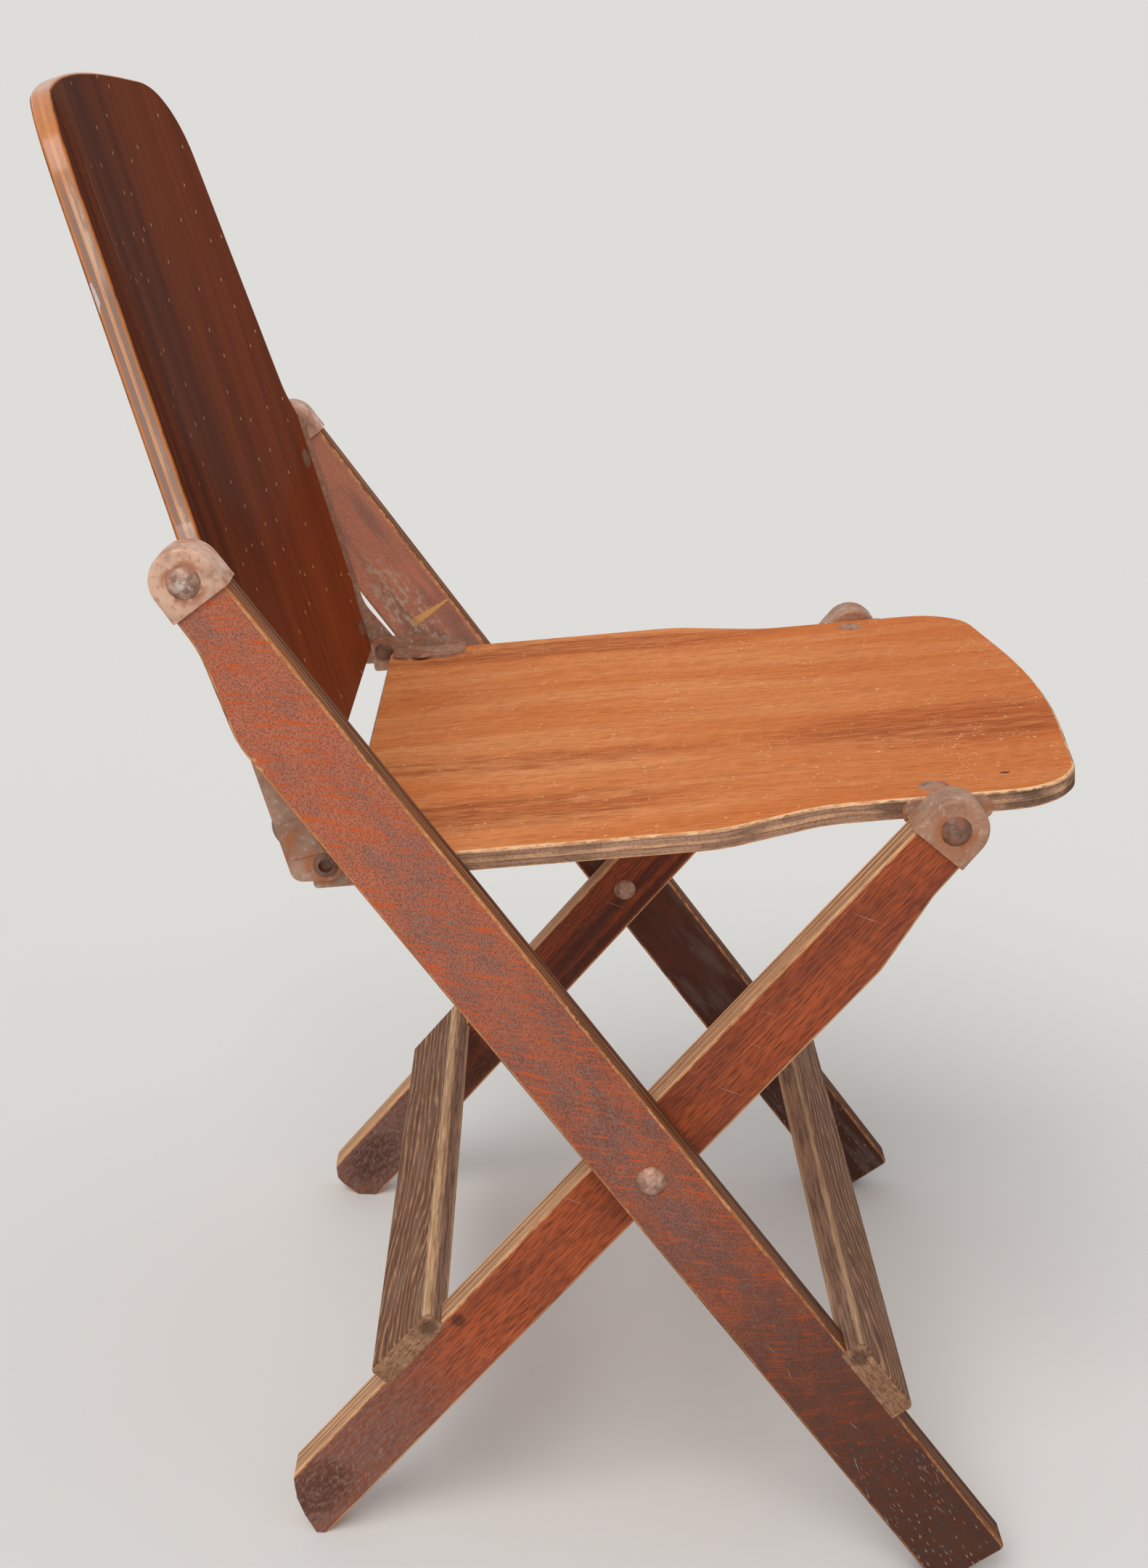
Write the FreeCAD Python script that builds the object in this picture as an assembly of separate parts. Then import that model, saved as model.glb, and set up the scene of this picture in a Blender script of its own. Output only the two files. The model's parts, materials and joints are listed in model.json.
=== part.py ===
"""Folding chair of bent plywood and laminated legs, in millimetres.

The chair faces -Y, +Z is up, and the origin is on the floor under the middle of its box. Two long legs run
from the sides of the back to the front feet, two short legs from the front of the seat to the rear feet.
They cross on rivets, and four pivots on each side make the fold: the cross, the front of the seat, the
hinge between seat and back, and the side of the back. The long legs, the short legs, the seat and the
back are each drawn upright in a frame of their own and then leaned into place.
"""
import FreeCAD, Part
import math
import os

from FreeCAD import Vector

# Linkage: distances between the pivots of one side
CROSS_TO_BACK_PIVOT = 394.0
CROSS_TO_SEAT_PIVOT = 240.0
SEAT_PIVOT_TO_HINGE = 318.6
HINGE_TO_BACK_PIVOT = 164.4
CROSS_HEIGHT = 251.9
LONG_LEG_LEAN = -38.1
SHORT_LEG_LEAN = 38.5

# Legs
LEG_THICKNESS = 20.0
LONG_LEG_OUTER = 222.0
LEG_SIDE_GAP = 5.6
LEG_ARRIS = 1.8
LONG_LEG_FRONT = 23.3
LONG_LEG_END_FRONT = 24.9
LONG_LEG_REAR = 22.0
LONG_LEG_FOOT = 307.5
SHORT_LEG_FRONT = 20.3
SHORT_LEG_REAR = 19.7
SHORT_LEG_FOOT = 316.5
LEG_END_RADIUS = 15.1
END_ROUNDING = 14.6
FOOT_ROUNDING = 4.0

# Worn rear corners of the rear feet: the outline that wear has left, from the sole up to the rear edge
WORN_RIGHT_FOOT = ((-15.0, -309.9), (-2.0, -304.5), (8.7, -298.2), (18.1, -289.0), (25.0, -276.0))
WORN_LEFT_FOOT = ((2.0, -316.5), (12.1, -313.8), (19.4, -306.6), (25.0, -294.0))

# Rear edge of a long leg draws in below the cap, front edge of a short leg tapers
NECK_WIDTH = 7.0
NECK_TOP = 363.0
NECK_BOTTOM = 316.0
NECK_ROUNDING = 55.0
TAPER_WIDTH = 12.3
TAPER_TOP = 207.0
TAPER_BOTTOM = 159.0
TAPER_ROUNDING = 34.0

# Pressed caps
CAP_SHEET = 1.4
CAP_FIT = 0.15
CAP_DEPTH = 13.4
CAP_ROUNDING = 2.6

# Rivets
SHANK_RADIUS = 4.0
HOLE_EASE = 0.1
HINGE_EASE = 0.05
PIVOT_HEAD = (8.4, 4.0)
SEAT_PIVOT_HEAD = (7.9, 3.4)
CROSS_TAIL = (7.5, 2.0)
SEAT_TAIL = (5.6, 1.6)
HINGE_HEAD = (6.4, 1.4)
HINGE_HOLLOW_RADIUS = 3.6
HINGE_HOLLOW_DEPTH = 4.2
SEAT_TAIL_POCKET = 7.2
SEAT_TAIL_POCKET_DEPTH = 3.2
BODY_GAP = 0.3
SPACER_RADIUS = 11.0

# Stretchers
STRETCHER_HEIGHT = 50.0
STRETCHER_THICKNESS = 14.0
STRETCHER_LET_IN = 3.5
STRETCHER_ARRIS = 3.0
FRONT_STRETCHER_TOP = -147.5
REAR_STRETCHER_TOP = -153.5
DOWEL_RADIUS = 4.0
DOWEL_LENGTH = 22.0
DOWEL_SPACING = 26.0
DOWEL_END_COVER = 4.0

# Seat panel, drawn level about the point of its top surface above the cross
SEAT_TOP_HEIGHT = 436.0
SEAT_LEAN = -6.6
SEAT_THICKNESS = 11.5
SEAT_FRONT_HALF = 172.4
SEAT_REAR_HALF = 194.9
SEAT_JOG_FRONT = -84.0
SEAT_JOG_REAR = -28.0
SEAT_JOG_ROUNDING = 62.0
SEAT_CORNER_FRONT = -214.5
SEAT_FRONT = -235.0
SEAT_FRONT_BOW = 700.0
SEAT_CORNER_ROUNDING = 40.0
SEAT_REAR = 168.0
SEAT_REAR_HOLLOW = 1.0
SEAT_REAR_BOW = 3000.0
SEAT_REAR_CORNER = 5.0
PLY_ARRIS = 1.6

# Back panel, drawn upright about its side pivot
BACK_LEAN = -17.6
BACK_THICKNESS = 11.0
BACK_FRONT_FACE = -9.0
BACK_SAG = 22.0
BACK_HALF = 197.3
BACK_SHOULDER_BOTTOM = 9.0
BACK_SHOULDER_TOP = 27.0
BACK_SHOULDER_HALF = 189.0
BACK_TOP_HALF = 161.0
BACK_CORNER_TOP = 226.4
BACK_TOP = 246.5
BACK_TOP_BOW = 800.0
BACK_CORNER_ROUNDING = 58.0
BACK_SHOULDER_TOP_ROUNDING = 40.0
BACK_SHOULDER_BOTTOM_ROUNDING = 14.0
BACK_BOTTOM = -158.7
BACK_BOTTOM_APEX = -213.0
BACK_BOTTOM_BOW = 650.0
BACK_FOOT_HALF = 194.4
BACK_FOOT_TOP = -126.0
BACK_FOOT_SLOPE = 14.0
BACK_FOOT_ROUNDING = 30.0
BACK_FOOT_CORNER = 6.0

# Steel brackets
BRACKET_SHEET = 2.0
BACK_EAR_RADIUS = 12.0
BACK_EAR_INNER = 197.6
BACK_STRIP_FRONT = -11.5
BACK_FLANGE_WIDTH = 24.0
BACK_FLANGE_TOP = 10.0
BACK_FLANGE_BOTTOM = -152.0
BACK_FLANGE_CORNER = 10.0
BACK_STRIP_FRONT_ROUNDING = 30.0
HINGE_EAR_RADIUS = 8.6
HINGE_EAR_CORNER = 6.5
HINGE_EAR_FRONT = 12.4
HINGE_EAR_FRONT_ROUNDING = 5.0
HINGE_EAR_RISE = 36.0
HINGE_STRAP_SHEET = 0.6
HINGE_STRAP_TOP = -135.0
HINGE_STRAP_SLOPE = 2.5
HINGE_STRAP_BOTTOM = -156.4
HINGE_STRAP_FRONT_TOP = -10.0
HINGE_STRAP_FRONT_BOTTOM = -17.0
HINGE_STRAP_SETBACK = 1.5
SEAT_EAR_INNER = 195.1
SEAT_EAR_RADIUS = 10.5
SEAT_FLANGE_WIDTH = 27.0
SEAT_FLANGE_FRONT = 116.0
SEAT_FLANGE_SETBACK = 3.0
SEAT_FLANGE_CORNER = 11.0
SEAT_EAR_SWEEP = 14.0
SEAT_EAR_END = 180.7
SEAT_EAR_BOTTOM = -13.0
SEAT_EAR_BOTTOM_FRONT = 146.0
SEAT_EAR_CORNER = 2.5
FRONT_EAR_HALF = 23.0
FRONT_EAR_RADIUS = 12.0
FRONT_EAR_TOP = -0.5
FRONT_EAR_TOP_CORNER = 7.0
FRONT_EAR_FOOT_CORNER = 5.0
FRONT_FLANGE_WIDTH = 30.0
FRONT_FLANGE_HALF = 20.0
FRONT_FLANGE_CORNER = 12.0

# Panel rivets
PANEL_SHANK_RADIUS = 3.0
SEAT_HEAD = (7.8, 1.8)
BACK_HEAD = (6.2, 1.5)
BACK_HEAD_LIFT = 0.05
BACK_RIVET_OFFSET = 187.5
BACK_RIVET_HEIGHTS = (-20.0, -142.0)
FRONT_RIVET_OFFSET = 157.0
FRONT_RIVET_BEHIND_PIVOT = 4.0
REAR_RIVET_OFFSET = 174.0
REAR_RIVET_FORWARD = 28.0

SIDES = {"right": -1, "left": 1}
X_AXIS = Vector(1, 0, 0)
Y_AXIS = Vector(0, 1, 0)
Z_AXIS = Vector(0, 0, 1)
BIG = 1000.0
SAME_POINT = 1e-6
SAME_PLANE = 1e-4
ABOVE_BORDER = 0.1

LONG_LEG_INNER = LONG_LEG_OUTER - LEG_THICKNESS
SHORT_LEG_OUTER = LONG_LEG_INNER - LEG_SIDE_GAP
SHORT_LEG_INNER = SHORT_LEG_OUTER - LEG_THICKNESS
FRONT_EAR_OUTER = SHORT_LEG_INNER - CAP_FIT - CAP_SHEET - BODY_GAP
FRONT_EAR_INNER = FRONT_EAR_OUTER - BRACKET_SHEET
BACK_EAR_OUTER = BACK_EAR_INNER + BRACKET_SHEET
SEAT_EAR_OUTER = SEAT_EAR_INNER + BRACKET_SHEET


def upright_pivot(centre_offset, distance):
    """Place of a leg's top pivot in the leg's own frame, at a set distance from the cross."""
    return (centre_offset, math.sqrt(distance ** 2 - centre_offset ** 2))


BACK_PIVOT_ON_LEG = upright_pivot(LEG_END_RADIUS - LONG_LEG_END_FRONT, CROSS_TO_BACK_PIVOT)
SEAT_PIVOT_ON_LEG = upright_pivot(SHORT_LEG_REAR - LEG_END_RADIUS, CROSS_TO_SEAT_PIVOT)


def leaned(point, lean, origin):
    """Side-view point of a leaned frame, as (y, z) in the chair's frame."""
    angle = math.radians(lean)
    y = origin[0] + point[0] * math.cos(angle) - point[1] * math.sin(angle)
    z = origin[1] + point[0] * math.sin(angle) + point[1] * math.cos(angle)
    return (y, z)


def upright(point, lean, origin):
    """Side-view point of the chair's frame, as (y, z) in a leaned frame."""
    return leaned((point[0] - origin[0], point[1] - origin[1]), -lean, (0.0, 0.0))


def lower_crossing(first, first_radius, second, second_radius):
    """Lower of the two points that lie at set distances from two others."""
    dy = second[0] - first[0]
    dz = second[1] - first[1]
    span = math.hypot(dy, dz)
    along = (first_radius ** 2 - second_radius ** 2 + span ** 2) / (2 * span)
    aside = math.sqrt(first_radius ** 2 - along ** 2)
    foot = (first[0] + dy * along / span, first[1] + dz * along / span)
    options = [(foot[0] - sign * dz * aside / span, foot[1] + sign * dy * aside / span) for sign in (1, -1)]
    return min(options, key=lambda point: point[1])


CROSS = (0.0, CROSS_HEIGHT)
BACK_PIVOT = leaned(BACK_PIVOT_ON_LEG, LONG_LEG_LEAN, CROSS)
SEAT_PIVOT = leaned(SEAT_PIVOT_ON_LEG, SHORT_LEG_LEAN, CROSS)
HINGE = lower_crossing(SEAT_PIVOT, SEAT_PIVOT_TO_HINGE, BACK_PIVOT, HINGE_TO_BACK_PIVOT)
SEAT_ORIGIN = (0.0, SEAT_TOP_HEIGHT)
SEAT_PIVOT_ON_SEAT = upright(SEAT_PIVOT, SEAT_LEAN, SEAT_ORIGIN)
HINGE_ON_SEAT = upright(HINGE, SEAT_LEAN, SEAT_ORIGIN)
HINGE_ON_BACK = upright(HINGE, BACK_LEAN, BACK_PIVOT)


def rounded_wire(corners, place):
    """Closed wire through corners given as (a, b, radius); place turns (a, b) into a point in space."""
    edges = []
    arcs = []
    count = len(corners)
    for i in range(count):
        before = corners[i - 1]
        a, b, radius = corners[i]
        after = corners[(i + 1) % count]
        to_before = Vector(before[0] - a, before[1] - b, 0).normalize()
        to_after = Vector(after[0] - a, after[1] - b, 0).normalize()
        half_angle = to_before.getAngle(to_after) / 2
        corner = Vector(a, b, 0)
        if radius == 0:
            arcs.append((corner, corner, corner))
            continue
        setback = radius / math.tan(half_angle)
        centre_line = (to_before + to_after).normalize()
        middle = corner + centre_line * (radius / math.sin(half_angle) - radius)
        arcs.append((corner + to_before * setback, middle, corner + to_after * setback))
    for i in range(count):
        start, middle, end = [place(p.x, p.y) for p in arcs[i]]
        following = place(arcs[(i + 1) % count][0].x, arcs[(i + 1) % count][0].y)
        if start.distanceToPoint(end) > SAME_POINT:
            edges.append(Part.Arc(start, middle, end).toShape())
        if end.distanceToPoint(following) > SAME_POINT:
            edges.append(Part.makeLine(end, following))
    return Part.Wire(edges)


def side_plate(corners, x_start, x_end):
    """Plate with a side-view outline, between two x planes."""
    wire = rounded_wire(corners, lambda y, z: Vector(x_start, y, z))
    return Part.Face(wire).extrude(Vector(x_end - x_start, 0, 0))


def plan_plate(corners, z_bottom, z_top):
    """Plate with a plan outline, between two heights."""
    wire = rounded_wire(corners, lambda x, y: Vector(x, y, z_bottom))
    return Part.Face(wire).extrude(Vector(0, 0, z_top - z_bottom))


def front_plate(corners, y_start, y_end):
    """Plate with a front-view outline, between two y planes."""
    wire = rounded_wire(corners, lambda x, z: Vector(x, y_start, z))
    return Part.Face(wire).extrude(Vector(0, y_end - y_start, 0))


def mirrored(right_hand):
    """Outline of a symmetric piece from the corners of its +X half, listed from front to rear or up."""
    left_hand = [(-a, b, radius) for a, b, radius in reversed(right_hand) if a != 0]
    return right_hand + left_hand


def box(x_range, y_range, z_range):
    """Block between three ranges."""
    size = [high - low for low, high in (x_range, y_range, z_range)]
    return Part.makeBox(*size, Vector(x_range[0], y_range[0], z_range[0]))


def pin(point, x_start, x_end, radius):
    """Round bar along x at a side-view point."""
    return Part.makeCylinder(radius, x_end - x_start, Vector(x_start, point[0], point[1]), X_AXIS)


def turned_rivet(x_start, x_end, radius, tail, head):
    """Rivet turned about x: a bar between two planes, with a domed tail before it and a domed head after it.

    The tail and the head are (radius, height), or None where the bar ends flat.
    """
    edges = []
    previous = Vector(x_start, 0, 0)
    first = previous
    if tail:
        first = Vector(x_start - tail[1], 0, 0)
        rim = Vector(x_start, tail[0], 0)
        edges.append(dome_arc(first, rim, x_start, -tail[1], tail[0]))
        previous = rim
    for point in (Vector(x_start, radius, 0), Vector(x_end, radius, 0)):
        edges.append(Part.makeLine(previous, point))
        previous = point
    last = Vector(x_end, 0, 0)
    if head:
        rim = Vector(x_end, head[0], 0)
        last = Vector(x_end + head[1], 0, 0)
        edges.append(Part.makeLine(previous, rim))
        edges.append(dome_arc(rim, last, x_end, head[1], head[0]))
    else:
        edges.append(Part.makeLine(previous, last))
    edges.append(Part.makeLine(last, first))
    return Part.Face(Part.Wire(edges)).revolve(Vector(0, 0, 0), X_AXIS, 360)


def dome_arc(start, end, x_seat, height, radius):
    """Quarter of a rivet head's outline, a part of a circle about a centre on the axis."""
    ball = (radius ** 2 + height ** 2) / (2 * height)
    centre_x = x_seat + height - ball
    half_turn = math.asin(radius / abs(ball)) / 2
    middle = Vector(centre_x + ball * math.cos(half_turn), abs(ball) * math.sin(half_turn), 0)
    return Part.Arc(start, middle, end).toShape()


def side_rivet(point, x_start, x_end, tail, head):
    """Pivot rivet along x at a side-view point, on the +X side."""
    solid = turned_rivet(x_start, x_end, SHANK_RADIUS, tail, head)
    solid.translate(Vector(0, point[0], point[1]))
    return solid


def face_edges(shape, axis, values, low=-BIG, high=BIG):
    """Edges that lie whole in one of the planes axis = value, with their middles in a range of z."""
    chosen = []
    for edge in shape.Edges:
        bounds = edge.BoundBox
        lowest = getattr(bounds, axis + "Min")
        highest = getattr(bounds, axis + "Max")
        flat = any(max(abs(lowest - value), abs(highest - value)) < SAME_PLANE for value in values)
        if flat and low < (bounds.ZMin + bounds.ZMax) / 2 < high:
            chosen.append(edge)
    return chosen


def placed(shape, lean, origin):
    """Copy of a piece, leaned about X and carried to its place."""
    result = shape.copy()
    result.rotate(Vector(0, 0, 0), X_AXIS, lean)
    result.translate(Vector(0, origin[0], origin[1]))
    return result


def sided(shape, side):
    """Piece drawn on the +X side, put on its own side."""
    return shape if side > 0 else shape.mirror(Vector(0, 0, 0), X_AXIS)


# Legs and their caps

def long_leg_outline(grow):
    """Upright outline of a long leg, grown all round."""
    rear = LONG_LEG_REAR + grow
    end_rear = BACK_PIVOT_ON_LEG[0] + LEG_END_RADIUS + grow
    top = BACK_PIVOT_ON_LEG[1] + LEG_END_RADIUS + grow
    return [
        (-LONG_LEG_FRONT - grow, -LONG_LEG_FOOT, FOOT_ROUNDING),
        (rear, -LONG_LEG_FOOT, FOOT_ROUNDING),
        (rear, NECK_BOTTOM, NECK_ROUNDING),
        (NECK_WIDTH + grow, NECK_TOP, NECK_ROUNDING),
        (end_rear, top, END_ROUNDING + grow),
        (-LONG_LEG_END_FRONT - grow, top, END_ROUNDING + grow),
    ]


def short_leg_outline(grow):
    """Upright outline of a short leg, grown all round."""
    front = -SHORT_LEG_FRONT - grow
    rear = SHORT_LEG_REAR + grow
    end_front = SEAT_PIVOT_ON_LEG[0] - LEG_END_RADIUS - grow
    top = SEAT_PIVOT_ON_LEG[1] + LEG_END_RADIUS + grow
    return [
        (front, -SHORT_LEG_FOOT, FOOT_ROUNDING),
        (rear, -SHORT_LEG_FOOT, FOOT_ROUNDING),
        (rear, top, END_ROUNDING + grow),
        (end_front, top, END_ROUNDING + grow),
        (-TAPER_WIDTH - grow, TAPER_TOP, TAPER_ROUNDING),
        (front, TAPER_BOTTOM, TAPER_ROUNDING),
    ]


def leg(outline, inner, outer, pivot, pivot_ease, cross_ease, notch):
    """Laminated leg with bevelled edges, two rivet holes and a notch for its stretcher."""
    blank = side_plate(outline(0.0), inner, outer)
    blank = blank.makeChamfer(LEG_ARRIS, face_edges(blank, "X", (inner, outer)))
    holes = pin(pivot, 0, BIG, SHANK_RADIUS + pivot_ease)
    holes = holes.fuse(pin((0.0, 0.0), 0, BIG, SHANK_RADIUS + cross_ease))
    return blank.cut(holes).cut(notch)


def cap(outline, inner, outer, pivot):
    """Pressed steel cap over a leg's top end, with a plate on both faces."""
    skin = CAP_FIT + CAP_SHEET
    border = pivot[1] - CAP_DEPTH
    planes = (inner - skin, outer + skin)
    block = side_plate(outline(skin), *planes)
    block = block.common(box((0, BIG), (-BIG, BIG), (border, BIG)))
    block = block.makeFillet(CAP_ROUNDING, face_edges(block, "X", planes, low=border + ABOVE_BORDER))
    pocket = side_plate(outline(CAP_FIT), inner - CAP_FIT, outer + CAP_FIT)
    return block.cut(pocket).cut(pin(pivot, 0, BIG, SHANK_RADIUS + HOLE_EASE))


# Stretchers

def stretcher(half_length, inner_face, proud, top):
    """Solid bar across a pair of legs, from its let-in face outwards along y."""
    faces = sorted((inner_face, inner_face + proud * STRETCHER_THICKNESS))
    bar = box((-half_length, half_length), faces, (top - STRETCHER_HEIGHT, top))
    outer_face = inner_face + proud * STRETCHER_THICKNESS
    return bar.makeFillet(STRETCHER_ARRIS, face_edges(bar, "Y", (outer_face,)))


def stretcher_notch(edge_face, inner_face, top):
    """Space that a stretcher takes out of a leg's edge, from its let-in face past that edge."""
    reach = sorted((inner_face, 2 * edge_face - inner_face))
    return box((0, BIG), reach, (top - STRETCHER_HEIGHT, top))


def dowels(x_middle, inner_face, proud, top, ease=0.0):
    """Blind dowels that pin both ends of a stretcher to its legs."""
    start = inner_face + proud * (STRETCHER_THICKNESS - DOWEL_END_COVER + ease)
    middle = top - STRETCHER_HEIGHT / 2
    bars = []
    for x in (-x_middle, x_middle):
        for z in (middle - DOWEL_SPACING / 2, middle + DOWEL_SPACING / 2):
            size = (DOWEL_RADIUS + ease, DOWEL_LENGTH + 2 * ease)
            bars.append(Part.makeCylinder(*size, Vector(x, start, z), Y_AXIS * -proud))
    return Part.makeCompound(bars)


# Seat

def seat_panel():
    """Plywood seat, wide behind, drawn in between the short legs and bowed at the front."""
    corners = mirrored([
        (0.0, SEAT_FRONT, SEAT_FRONT_BOW),
        (SEAT_FRONT_HALF, SEAT_CORNER_FRONT, SEAT_CORNER_ROUNDING),
        (SEAT_FRONT_HALF, SEAT_JOG_FRONT, SEAT_JOG_ROUNDING),
        (SEAT_REAR_HALF, SEAT_JOG_REAR, SEAT_JOG_ROUNDING),
        (SEAT_REAR_HALF, SEAT_REAR, SEAT_REAR_CORNER),
        (0.0, SEAT_REAR - SEAT_REAR_HOLLOW, SEAT_REAR_BOW),
    ])
    panel = plan_plate(corners, -SEAT_THICKNESS, 0.0)
    panel = panel.makeChamfer(PLY_ARRIS, face_edges(panel, "Z", (-SEAT_THICKNESS, 0.0)))
    pocket_start = SEAT_FRONT_HALF - SEAT_TAIL_POCKET_DEPTH
    pocket = pin(SEAT_PIVOT_ON_SEAT, pocket_start, BIG, SEAT_TAIL_POCKET)
    for side in SIDES.values():
        panel = panel.cut(sided(pocket, side))
        for x, y in (seat_front_rivet_place(), seat_rear_rivet_place()):
            below = Vector(side * x, y, -BIG / 2)
            panel = panel.cut(Part.makeCylinder(PANEL_SHANK_RADIUS, BIG, below, Z_AXIS))
    return panel


def seat_front_rivet_place():
    """Plan place of the rivet that holds a front bracket."""
    return (FRONT_RIVET_OFFSET, SEAT_PIVOT_ON_SEAT[0] + FRONT_RIVET_BEHIND_PIVOT)


def seat_rear_rivet_place():
    """Plan place of the rivet that holds a hinge bracket."""
    return (REAR_RIVET_OFFSET, HINGE_ON_SEAT[0] - REAR_RIVET_FORWARD)


def seat_front_bracket():
    """Angle under the seat's edge: a broad upright ear round the pivot and a flange below the panel."""
    y, z = SEAT_PIVOT_ON_SEAT
    underside = -SEAT_THICKNESS - BRACKET_SHEET
    plate = side_plate([
        (y - FRONT_EAR_HALF, FRONT_EAR_TOP, FRONT_EAR_TOP_CORNER),
        (y - FRONT_EAR_HALF, underside, FRONT_EAR_FOOT_CORNER),
        (y + FRONT_EAR_HALF, underside, FRONT_EAR_FOOT_CORNER),
        (y + FRONT_EAR_HALF, FRONT_EAR_TOP, FRONT_EAR_TOP_CORNER),
    ], FRONT_EAR_INNER, FRONT_EAR_OUTER)
    ear = pin((y, z), FRONT_EAR_INNER, FRONT_EAR_OUTER, FRONT_EAR_RADIUS)
    ear = ear.common(box((0, BIG), (-BIG, BIG), (-BIG, FRONT_EAR_TOP)))
    flange = plan_plate([
        (FRONT_EAR_INNER - FRONT_FLANGE_WIDTH, y - FRONT_FLANGE_HALF, FRONT_FLANGE_CORNER),
        (FRONT_EAR_OUTER, y - FRONT_FLANGE_HALF, 0),
        (FRONT_EAR_OUTER, y + FRONT_FLANGE_HALF, 0),
        (FRONT_EAR_INNER - FRONT_FLANGE_WIDTH, y + FRONT_FLANGE_HALF, FRONT_FLANGE_CORNER),
    ], underside, -SEAT_THICKNESS)
    bracket = plate.fuse(ear).fuse(flange)
    bracket = bracket.cut(pin((y, z), 0, BIG, SHANK_RADIUS + HINGE_EASE))
    tail_room = pin((y, z), FRONT_EAR_INNER - SEAT_TAIL_POCKET_DEPTH, FRONT_EAR_INNER, SEAT_TAIL_POCKET)
    rivet_x, rivet_y = seat_front_rivet_place()
    hole = Part.makeCylinder(PANEL_SHANK_RADIUS, BIG, Vector(rivet_x, rivet_y, -BIG / 2), Z_AXIS)
    return bracket.cut(tail_room).cut(hole).removeSplitter()


def seat_hinge_bracket():
    """Angle on the seat's rear corner: a flange on the top face and an ear back to the hinge."""
    y, z = HINGE_ON_SEAT
    ear = side_plate([
        (SEAT_FLANGE_FRONT, 0.0, 0),
        (SEAT_EAR_BOTTOM_FRONT, SEAT_EAR_BOTTOM, SEAT_EAR_SWEEP),
        (SEAT_EAR_END, SEAT_EAR_BOTTOM, SEAT_EAR_CORNER),
        (SEAT_EAR_END, z, 0),
        (y, z + SEAT_EAR_RADIUS, 0),
        (y - 2 * SEAT_EAR_RADIUS, z + SEAT_EAR_RADIUS, SEAT_EAR_SWEEP),
        (SEAT_FLANGE_FRONT, BRACKET_SHEET, 0),
    ], SEAT_EAR_INNER, SEAT_EAR_OUTER)
    ear = ear.fuse(pin((y, z), SEAT_EAR_INNER, SEAT_EAR_OUTER, SEAT_EAR_RADIUS))
    flange = plan_plate([
        (SEAT_EAR_OUTER, SEAT_FLANGE_FRONT, 0),
        (SEAT_EAR_OUTER, SEAT_REAR - SEAT_FLANGE_SETBACK, 0),
        (SEAT_EAR_OUTER - SEAT_FLANGE_WIDTH, SEAT_REAR - SEAT_FLANGE_SETBACK, SEAT_FLANGE_CORNER),
        (SEAT_EAR_OUTER - SEAT_FLANGE_WIDTH, SEAT_FLANGE_FRONT, SEAT_FLANGE_CORNER),
    ], 0.0, BRACKET_SHEET)
    bracket = ear.fuse(flange).cut(pin((y, z), 0, BIG, SHANK_RADIUS + HOLE_EASE))
    rivet_x, rivet_y = seat_rear_rivet_place()
    hole = Part.makeCylinder(PANEL_SHANK_RADIUS, BIG, Vector(rivet_x, rivet_y, -BIG / 2), Z_AXIS)
    return bracket.cut(hole).removeSplitter()


def panel_rivet(lower, upper, head):
    """Flat rivet along z at the origin, with a rounded head above and the same below."""
    solid = turned_rivet(lower, upper, PANEL_SHANK_RADIUS, head, head)
    solid.rotate(Vector(0, 0, 0), Y_AXIS, -90)
    return solid


def seat_rivets(place, lower, upper):
    """One panel rivet on each side of the seat."""
    solids = []
    for side in SIDES.values():
        solid = panel_rivet(lower, upper, SEAT_HEAD)
        solid.translate(Vector(side * place[0], place[1], 0))
        solids.append(solid)
    return Part.makeCompound(solids)


# Back

BACK_RADIUS = (BACK_HALF ** 2 + BACK_SAG ** 2) / (2 * BACK_SAG)
BACK_AXIS_Y = BACK_FRONT_FACE + BACK_SAG - BACK_RADIUS


def bowed_sheet(front_depth, rear_depth):
    """Upright sheet that follows the bow of the back, between two depths behind its front face."""
    centre = Vector(0, BACK_AXIS_Y, -BIG / 2)
    outside = Part.makeCylinder(BACK_RADIUS + rear_depth, BIG, centre, Z_AXIS)
    inside = Part.makeCylinder(BACK_RADIUS + front_depth, BIG, centre, Z_AXIS)
    near_half = box((-BIG, BIG), (BACK_AXIS_Y + BACK_RADIUS / 2, BIG), (-BIG / 2, BIG / 2))
    return outside.cut(inside).common(near_half)


def back_outline():
    """Front-view outline of the back: large top corners, drawn-in shoulders and a bottom that bows down."""
    return mirrored([
        (0.0, BACK_TOP, BACK_TOP_BOW),
        (BACK_TOP_HALF, BACK_CORNER_TOP, BACK_CORNER_ROUNDING),
        (BACK_SHOULDER_HALF, BACK_SHOULDER_TOP, BACK_SHOULDER_TOP_ROUNDING),
        (BACK_HALF, BACK_SHOULDER_BOTTOM, BACK_SHOULDER_BOTTOM_ROUNDING),
        (BACK_HALF, BACK_FOOT_TOP + BACK_FOOT_SLOPE, BACK_FOOT_ROUNDING),
        (BACK_FOOT_HALF, BACK_FOOT_TOP, BACK_FOOT_ROUNDING),
        (BACK_FOOT_HALF, BACK_BOTTOM, BACK_FOOT_CORNER),
        (0.0, BACK_BOTTOM_APEX, BACK_BOTTOM_BOW),
    ])


def bowed_place(x):
    """Turn of the bow, in degrees about z, at a half width on the front face."""
    return math.degrees(math.asin(x / BACK_RADIUS))


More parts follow.
